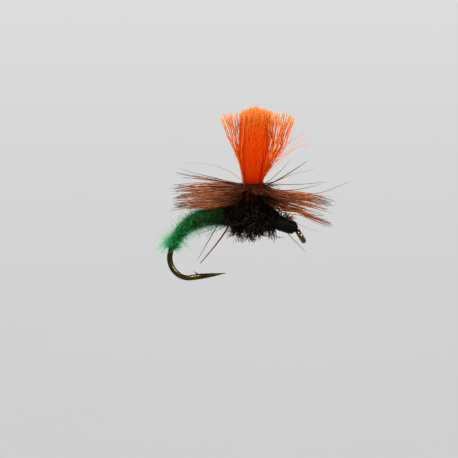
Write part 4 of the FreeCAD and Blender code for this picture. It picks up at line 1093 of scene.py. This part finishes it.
def barbs(name, azimuth, level, reach, seed, width, gather, replaced, slot="hackle_barb", groups=9, mat=None):
    """Barbs from the quill's turns, drawn together a little in groups toward their tips."""
    rng = np.random.default_rng(seed)
    n, k = len(azimuth), 15
    group = rng.integers(0, groups, n)
    order = np.argsort(azimuth + rng.normal(0, 4, n))
    rank = np.empty(n, int)
    rank[order] = np.arange(n)
    cell = rank // max(1, n // groups)
    mean_a = np.array([azimuth[cell == c].mean() if (cell == c).any() else 0 for c in range(cell.max() + 1)])[cell]
    sub = cell * 4 + np.minimum((level * 4).astype(int), 3)
    mean_l = np.zeros(n)
    for c in np.unique(sub):
        mean_l[sub == c] = level[sub == c].mean()
    t = np.linspace(0, 1, k)[None, :]
    pull = gather * smooth((t - 0.45) / 0.55)
    A = azimuth[:, None] * (1 - 0.55 * pull) + mean_a[:, None] * 0.55 * pull + rng.normal(0, 4.5, (n, 1)) * t ** 1.5
    L = level[:, None] * (1 - pull) + mean_l[:, None] * pull
    rho = 1.02 + (reach[:, None] - 1.02) * t
    Z = barb_height(A, L, rho)
    for _ in range(2):
        Z[:, 1:-1] = (Z[:, :-2] + 2 * Z[:, 1:-1] + Z[:, 2:]) / 4
    Z = Z + rng.normal(0, 0.07, (n, 1)) * np.sin(np.pi * t * rng.uniform(0.8, 2.2, (n, 1))) + rng.normal(0, 0.16, (n, 1)) * t ** 2.5
    a = np.radians(A)
    P = np.stack([POST[0] + rho * np.cos(a), rho * np.sin(a), Z], -1)
    w = rng.uniform(width * 0.8, width * 1.2, n)
    R = w[:, None] * (1 - 0.74 * t ** 1.9)
    ob = fibres(name, P, R, mat or M_HACKLE, zone=0.0, mix=rng.random(n), sides=4, flat=0.70, seed=seed + 1)
    return place(ob, *replaced, slot=slot)


def make_hackle_all():
    rng = np.random.default_rng(41)

    def side(name, middle, half, n, node, seed, reach, width, levels=None, mat=None, part=False):
        az = middle + np.linspace(-half, half, n) + rng.normal(0, 1.8, n)
        if part:
            inner = np.abs(az - middle) < 26
            keep = ~inner | (rng.random(n) < 0.62)
            az, n, inner = az[keep], int(keep.sum()), inner[keep]
        level = rng.beta(1.05, 1.05, n) if levels is None else levels(rng, n)
        if part:
            level[inner] = rng.uniform(0.90, 1.0, inner.sum())
        r = rng.uniform(reach[0], reach[1], n)
        barbs(name, az, level, r, seed, width, 0.55, (node,), mat=mat)

    def rear_levels(rng, n):
        l = rng.beta(0.95, 1.10, n) * 0.76
        top = rng.random(n) < 0.06
        l[top] = rng.uniform(0.80, 1.0, top.sum())
        return l

    def front_levels(rng, n):
        high = rng.random(n) < 0.60
        return np.where(high, rng.uniform(0.38, 1.0, n), rng.uniform(0.0, 0.24, n))

    side("barbs_rear", 180, 46, 138, "hackle_barbs_rear", 42, (7.4, 8.2), 0.056, rear_levels)
    side("barbs_front", 0, 46, 126, "hackle_barbs_front", 44, (7.0, 8.2), 0.051, front_levels)
    # the near barbs take the copy with painted shade
    side("barbs_near", 270, 45, 84, "hackle_barbs_near", 46, (6.4, 8.0), 0.050, mat=M_HACKLE_SHADED, part=True)
    side("barbs_far", 90, 45, 84, "hackle_barbs_far", 48, (6.6, 8.1), 0.050)

    # webby barbs, short and darkened with painted shade, close round the quill's turns
    count, k = 620, 8
    az = rng.uniform(0, 2 * np.pi, count)
    root = np.c_[POST[0] + 1.02 * np.cos(az), 1.02 * np.sin(az), rng.uniform(4.25, 5.12, count)]
    low = rng.normal(-0.30, 0.30, count)
    d0 = np.c_[np.cos(az), np.sin(az), low]
    P = curls(root, d0, np.c_[-np.sin(az), np.cos(az), np.zeros(count)], rng.normal(0.25, 0.35, count), rng.uniform(0.5, 2.0, count), k)
    w = rng.uniform(0.030, 0.048, (count, 1)) * (1 - 0.7 * np.linspace(0, 1, k)[None, :] ** 1.5)
    place(fibres("barbs_web", P, w, M_HACKLE_SHADED, zone=0.0, mix=0.6 + 0.4 * rng.random(count), sides=4, flat=0.6, seed=50), "hackle_barbs_near", slot="hackle_barb")

    # barbs that stand apart, by where they run
    lines = [
        ([(-3.9, 0.4, 5.0), (-3.1, 0.5, 5.4), (-2.2, 0.6, 6.2), (-1.4, 0.7, 7.0), (-0.95, 0.8, 7.6)], 0.026, 0.3),
        ([(-3.9, -0.3, 4.9), (-2.9, -0.4, 5.2), (-1.6, -0.6, 5.95), (-0.4, -0.8, 6.75), (0.62, -0.9, 7.45)], 0.064, 0.05),
        ([(-3.8, 0.3, 4.9), (-2.6, 0.5, 5.3), (-1.3, 0.8, 5.9), (0.2, 1.0, 6.35), (1.55, 1.2, 6.55)], 0.034, 0.4),
        ([(-3.8, -0.5, 4.9), (-2.4, -0.7, 5.15), (-0.6, -0.9, 5.1), (1.2, -1.1, 5.25), (2.55, -1.2, 5.4)], 0.038, 0.25),
        ([(-3.8, 0.2, 4.8), (-2.2, 0.3, 4.45), (-0.4, 0.4, 4.5), (1.2, 0.5, 4.85), (2.0, 0.5, 5.1)], 0.042, 0.2),
        ([(-3.7, 0.0, 4.7), (-1.5, 0.1, 4.35), (0.6, 0.2, 4.1), (2.1, 0.3, 4.1), (3.4, 0.4, 4.75), (4.92, 0.5, 5.35)], 0.038, 0.35),
        ([(-3.7, -0.6, 4.6), (-1.6, -1.0, 4.0), (0.6, -1.3, 3.7), (2.2, -1.5, 3.5), (3.45, -1.6, 3.5)], 0.038, 0.2),
        ([(-3.7, -0.3, 4.5), (-1.5, -0.5, 3.9), (0.3, -0.7, 3.5), (1.6, -0.8, 3.3), (2.75, -0.9, 2.95)], 0.040, 0.2),
        ([(-3.8, -0.8, 4.4), (-2.0, -1.4, 3.3), (-0.2, -1.9, 2.45), (1.4, -2.3, 1.85), (2.8, -2.6, 1.42)], 0.046, 0.1),
        ([(-3.8, -0.5, 4.4), (-1.9, -1.0, 3.4), (-0.1, -1.3, 2.3), (1.6, -1.5, 1.4), (3.05, -1.6, 0.88)], 0.046, 0.1),
        ([(-3.8, 0.6, 4.4), (-2.0, 1.1, 3.3), (-0.4, 1.4, 2.3), (1.2, 1.6, 1.3), (2.55, 1.7, 0.72)], 0.036, 0.3),
        ([(-3.9, 1.0, 4.4), (-2.4, 1.7, 2.8), (-0.7, 2.2, 1.3), (0.6, 2.5, 0.55), (1.85, 2.7, 0.22)], 0.022, 0.9),
        ([(-5.5, 0.3, 5.2), (-6.6, 0.5, 6.15), (-8.4, 0.6, 7.05), (-10.4, 0.7, 7.25), (-11.75, 0.7, 7.22)], 0.014, 0.95),
        ([(-5.7, -0.3, 5.0), (-7.4, -0.5, 5.45), (-9.2, -0.6, 6.0), (-10.6, -0.6, 6.15), (-11.3, -0.6, 6.5), (-11.95, -0.6, 6.72)], 0.044, 0.2),
        ([(-5.7, 0.2, 4.9), (-7.6, 0.3, 5.35), (-9.6, 0.4, 5.6), (-10.9, 0.4, 5.75), (-11.9, 0.4, 5.75)], 0.042, 0.2),
        ([(-5.7, -0.1, 4.9), (-7.8, -0.2, 5.1), (-9.8, -0.3, 5.2), (-11.2, -0.3, 5.0), (-12.6, -0.3, 5.1)], 0.040, 0.3),
        ([(-5.7, 0.5, 4.5), (-7.6, 0.9, 4.3), (-9.6, 1.2, 4.05), (-11.3, 1.4, 3.75), (-12.75, 1.5, 3.5)], 0.036, 0.4),
        ([(-5.7, -0.5, 4.4), (-7.7, -0.9, 3.9), (-9.7, -1.2, 3.3), (-11.5, -1.4, 2.85), (-13.02, -1.5, 2.52)], 0.040, 0.5),
        ([(-5.6, 0.8, 4.4), (-6.3, 1.9, 2.4), (-7.5, 2.6, 0.1), (-8.8, 3.0, -1.62), (-10.07, 3.2, -3.08)], 0.170, 0.40),
        ([(-5.6, 0.9, 4.4), (-7.3, 2.0, 2.3), (-8.5, 2.8, 0.55), (-9.5, 3.3, -1.3), (-10.36, 3.55, -2.80)], 0.062, 0.75),
        ([(-5.6, 0.9, 4.4), (-6.2, 1.7, 2.7), (-7.1, 2.1, 0.9), (-8.2, 2.3, 0.50), (-9.35, 2.4, -0.2)], 0.032, 0.3),
        ([(-5.6, 0.9, 4.4), (-6.6, 1.6, 2.4), (-8.13, 2.2, 0.84), (-9.4, 2.4, 0.20), (-10.63, 2.5, -0.16)], 0.034, 0.1),
        ([(-9.30, -0.84, 2.14), (-9.9, -0.88, 1.93), (-10.5, -0.86, 1.68), (-11.2, -0.78, 1.39)], 0.017, 0.31),
        ([(-3.9, 0.9, 4.4), (-3.0, 1.9, 2.5), (-1.8, 2.5, 0.7), (-0.5, 2.9, -0.75), (0.64, 3.1, -1.88)], 0.048, 0.2),
    ]
    k = 17
    P, R, Z, M = [], [], [], []
    for pts, r, pale in lines:
        pts = np.array(pts)
        d = np.r_[0, np.cumsum(np.linalg.norm(np.diff(pts, axis=0), axis=1))]
        q = np.linspace(0, d[-1], k)
        line = np.stack([np.interp(q, d, pts[:, a]) for a in range(3)], -1)
        for _ in range(6):
            line[1:-1] = (line[:-2] + 2 * line[1:-1] + line[2:]) / 4
        P.append(line)
        R.append(r * 1.35 * (1 - 0.76 * np.linspace(0, 1, k) ** (2.0 if r < 0.1 else 0.85)))
        Z.append(pale * 0.9)
        M.append(0.97 if pale < 0.33 else 0.45)
    place(
        fibres("barbs_apart", np.array(P), np.array(R), M_HACKLE, zone=np.array(Z), mix=np.array(M), sides=5, flat=0.7, seed=52),
        "hackle_barbs_stray", slot="hackle_barb",
    )


make_hackle_all()


# ---------------------------------------------------------------------------
# Head: thread turns over a tapered core, the whip finish, and the feather's tip
# ---------------------------------------------------------------------------
HD_S = [0.12, 0.24, 0.42, 0.70, 1.15, 1.60, 2.10, 2.50]
HD_R = [0.35, 0.50, 0.61, 0.67, 0.690, 0.70, 0.72, 0.70]


def make_head():
    rng = np.random.default_rng(61)
    s = np.linspace(2.5, 0.13, 66)
    n = 40
    phi = np.linspace(0, 2 * np.pi, n, endpoint=False)
    S, F = np.meshgrid(s, phi, indexing="ij")
    R = np.interp(S, HD_S, HD_R) - 0.035 + 0.008 * np.sin(5 * F + 4 * S)
    rings = around(S.ravel(), F.ravel(), R.ravel()).reshape(len(s), n, 3)
    place(skin("head_core", rings, M_THREAD), "head_wraps", slot="black_thread")
    # thread: forward, back and forward again, so that turns cross
    def lay(name, s0, s1, pitch, lift, seed, radius=0.036):
        rng = np.random.default_rng(seed)
        turns = abs(s1 - s0) / pitch
        k = int(turns * 26)
        t = np.linspace(0, 1, k)
        ss = s0 + (s1 - s0) * t + 0.012 * np.sin(2 * np.pi * t * turns * 0.37 + 1.3)
        ph = 2 * np.pi * turns * t + 0.9
        rr = np.interp(ss, HD_S, HD_R) + lift + 0.007 * np.sin(ph * 0.31 + seed)
        pts = around(ss, ph, rr)
        place(strand(name, pts, radius, M_THREAD, sides=8, seed=seed, squash=0.8), "head_wraps", slot="black_thread")
    lay("head_thread_under", 2.45, 0.20, 0.078, -0.012, 62)
    lay("head_thread_back", 0.24, 1.95, 0.19, 0.018, 63)
    lay("head_thread_over", 1.90, 0.17, 0.092, 0.030, 64, 0.034)
    # whip finish: turns laid close behind the eye, one of them crossing
    k = 44
    P = []
    for i, (d, tilt, r) in enumerate(((0.335, 0.05, 0.365), (0.265, -0.10, 0.352), (0.190, 0.16, 0.342), (0.120, -0.04, 0.335), (0.230, 0.42, 0.372))):
        a = np.linspace(0, 2 * np.pi, k)
        ss = d + tilt * 0.10 * np.cos(a + i)
        P.append(around(ss, a + 0.7 * i, r + 0.004 * np.sin(3 * a)))
    place(fibres("whip_turns", np.array(P), np.full((len(P), k), 0.036), M_THREAD, zone=0.5, mix=0.4, sides=8, seed=65, flat=0.85), "whip_finish", slot="black_thread")

    # the feather's trimmed tip: the barbs left on it
    count, k = 84, 7
    rng = np.random.default_rng(66)
    root = np.c_[rng.normal(-1.62, 0.13, count), rng.normal(0, 0.16, count), rng.normal(1.62, 0.05, count)]
    ang = rng.normal(0.24, 0.20, count)
    yaw = rng.normal(0, 0.26, count)
    length = rng.uniform(0.55, 1.10, count)
    d = np.c_[np.cos(ang) * np.cos(yaw), np.sin(yaw), np.sin(ang)]
    t = np.linspace(0, 1, k)[None, :, None]
    sag = rng.normal(-0.10, 0.12, count)
    P = root[:, None] + length[:, None, None] * d[:, None] * t
    P[:, :, 2] += (sag[:, None] * t[:, :, 0] ** 2)
    w = rng.uniform(0.018, 0.028, (count, 1)) * (1 - 0.55 * np.linspace(0, 1, k)[None, :])
    place(fibres("feather_tip", P, w, M_HACKLE, zone=0.60, mix=rng.random(count) * 0.25, sides=4, flat=0.6, seed=67), "hackle_tip_tag", slot="hackle_barb")
    lines = np.array([[(-1.25, 0.05, 1.68), (-0.95, 0.05, 1.80), (-0.68, 0.05, 2.02), (-0.50, 0.05, 2.25)],
                      [(-1.35, -0.1, 1.70), (-1.15, -0.1, 1.95), (-1.02, -0.1, 2.20), (-0.98, -0.1, 2.42)]])
    P = np.stack([np.stack([np.interp(np.linspace(0, 3, 9), np.arange(4), l[:, a]) for a in range(3)], -1) for l in lines])
    place(fibres("feather_tip_loose", P, np.full((2, 9), 0.024) * (1 - 0.5 * np.linspace(0, 1, 9)), M_HACKLE, zone=0.2, mix=0.4, sides=5, seed=68), "hackle_tip_tag", slot="hackle_barb")


make_head()

# ---------------------------------------------------------------------------
# Stage: a pale round studio floor that curves up all round, soft light, camera
# ---------------------------------------------------------------------------
FLOOR_Z = -40.0


def make_stage():
    # light paper: it glows with painted light, darker on the floor and lighter up the wall, and takes almost no light
    # itself, so that no shadow falls on it
    m = Mat("studio_paper")
    c = m.coords(1.0)
    n = m.noise(c, 9.0, detail=3.0)
    sep = m.node("ShaderNodeSeparateXYZ")
    m.link(c, sep.inputs[0])
    away = m.math("SQRT", m.math("ADD", m.math("POWER", m.math("ADD", sep.outputs[0], 0.005), 2.0), m.math("POWER", sep.outputs[1], 2.0)))
    along = m.math("ADD", away, sep.outputs[2])
    # painted light: the glow grows from the floor's middle up the wall
    g = [(0.0, 0.580), (0.125, 0.594), (0.255, 0.616), (0.53, 0.656), (0.65, 0.694), (0.72, 0.716), (1.0, 0.728)]
    painted_glow = m.ramp(along, [(p, (v, v, v, 1)) for p, v in g])
    painted_glow = m.mixc(remap(m, n, 0.3, 0.7, 0.0, 0.02), painted_glow, (0.66, 0.66, 0.66, 1))
    m.colour(m.ramp(n, [(0.3, (0.018, 0.018, 0.018, 1)), (0.7, (0.022, 0.022, 0.022, 1))]))
    m.link(painted_glow, m.bsdf.inputs["Emission Color"])
    m.bsdf.inputs["Emission Strength"].default_value = 1.0
    m.rough(0.95)
    m.set(Specular_IOR_Level=0.0)
    # profile of the dish: flat, then a quarter turn, then upright
    prof = [(0.0, 0.0), (0.05, 0.0), (0.12, 0.0), (0.25, 0.0), (0.40, 0.0)]
    for i in range(1, 13):
        a = math.radians(90 * i / 12)
        prof.append((0.40 + 0.30 * math.sin(a), 0.30 * (1 - math.cos(a))))
    prof.append((0.70, 0.62))
    segs = 96
    co, faces = [], []
    for r, z in prof:
        for i in range(segs):
            a = 2 * math.pi * i / segs
            co.append((-0.005 + r * math.cos(a), r * math.sin(a), FLOOR_Z * MM + z))
    for j in range(len(prof) - 1):
        for i in range(segs):
            b = (i + 1) % segs
            faces.append((j * segs + i, j * segs + b, (j + 1) * segs + b, (j + 1) * segs + i))
    me = bpy.data.meshes.new("studio_floor")
    me.from_pydata(co, [], faces)
    me.polygons.foreach_set("use_smooth", np.ones(len(faces), bool))
    me.update()
    ob = bpy.data.objects.new("studio_floor", me)
    bpy.context.scene.collection.objects.link(ob)
    me.materials.append(m.m)
    ob.visible_glossy = False
    ob.visible_diffuse = False
    ob.visible_transmission = False

    world = bpy.data.worlds.new("soft_sky")
    bpy.context.scene.world = world
    world.use_nodes = True
    bg = world.node_tree.nodes["Background"]
    bg.inputs[0].default_value = (0.97, 0.985, 1.0, 1)
    bg.inputs[1].default_value = 0.50

    def area(name, where, target, size, energy, colour=(1, 1, 1)):
        d = bpy.data.lights.new(name, "AREA")
        d.shape = "DISK"
        d.size = size
        d.energy = energy
        d.color = colour
        o = bpy.data.objects.new(name, d)
        o.location = where
        o.rotation_mode = "QUATERNION"
        o.rotation_quaternion = (Vector(target) - Vector(where)).to_track_quat("-Z", "Y")
        bpy.context.scene.collection.objects.link(o)
        return o

    aim = (-0.005, 0, 0.004)
    area("key", (-0.12, -0.20, 0.24), aim, 0.12, 1.70, (1.0, 0.985, 0.96))
    area("fill", (0.18, -0.17, 0.12), aim, 0.11, 0.62, (1.0, 0.99, 0.97))
    area("rim", (0.05, 0.22, 0.22), aim, 0.16, 0.90)


make_stage()

cam_data = bpy.data.cameras.new("camera")
cam = bpy.data.objects.new("camera", cam_data)
bpy.context.scene.collection.objects.link(cam)
bpy.context.scene.camera = cam
cam_data.lens = 135.0
cam_data.sensor_width = 36.0
ELEV = math.radians(4.0)
CENTRE = Vector((-7.13, 0.0, 0.64)) * MM
WIDTH = 45.8 * MM
dist = WIDTH * cam_data.lens / cam_data.sensor_width
back = Vector((0.0, -math.cos(ELEV), math.sin(ELEV)))
cam.location = CENTRE + back * dist
cam.rotation_mode = "QUATERNION"
cam.rotation_quaternion = (-back).to_track_quat("-Z", "Y")
cam_data.clip_start, cam_data.clip_end = 0.005, 5.0
cam_data.dof.use_dof = False

scene = bpy.context.scene
scene.view_settings.view_transform = "Standard"
scene.view_settings.look = "None"
scene.view_settings.exposure = 0.0
scene.view_settings.gamma = 1.0
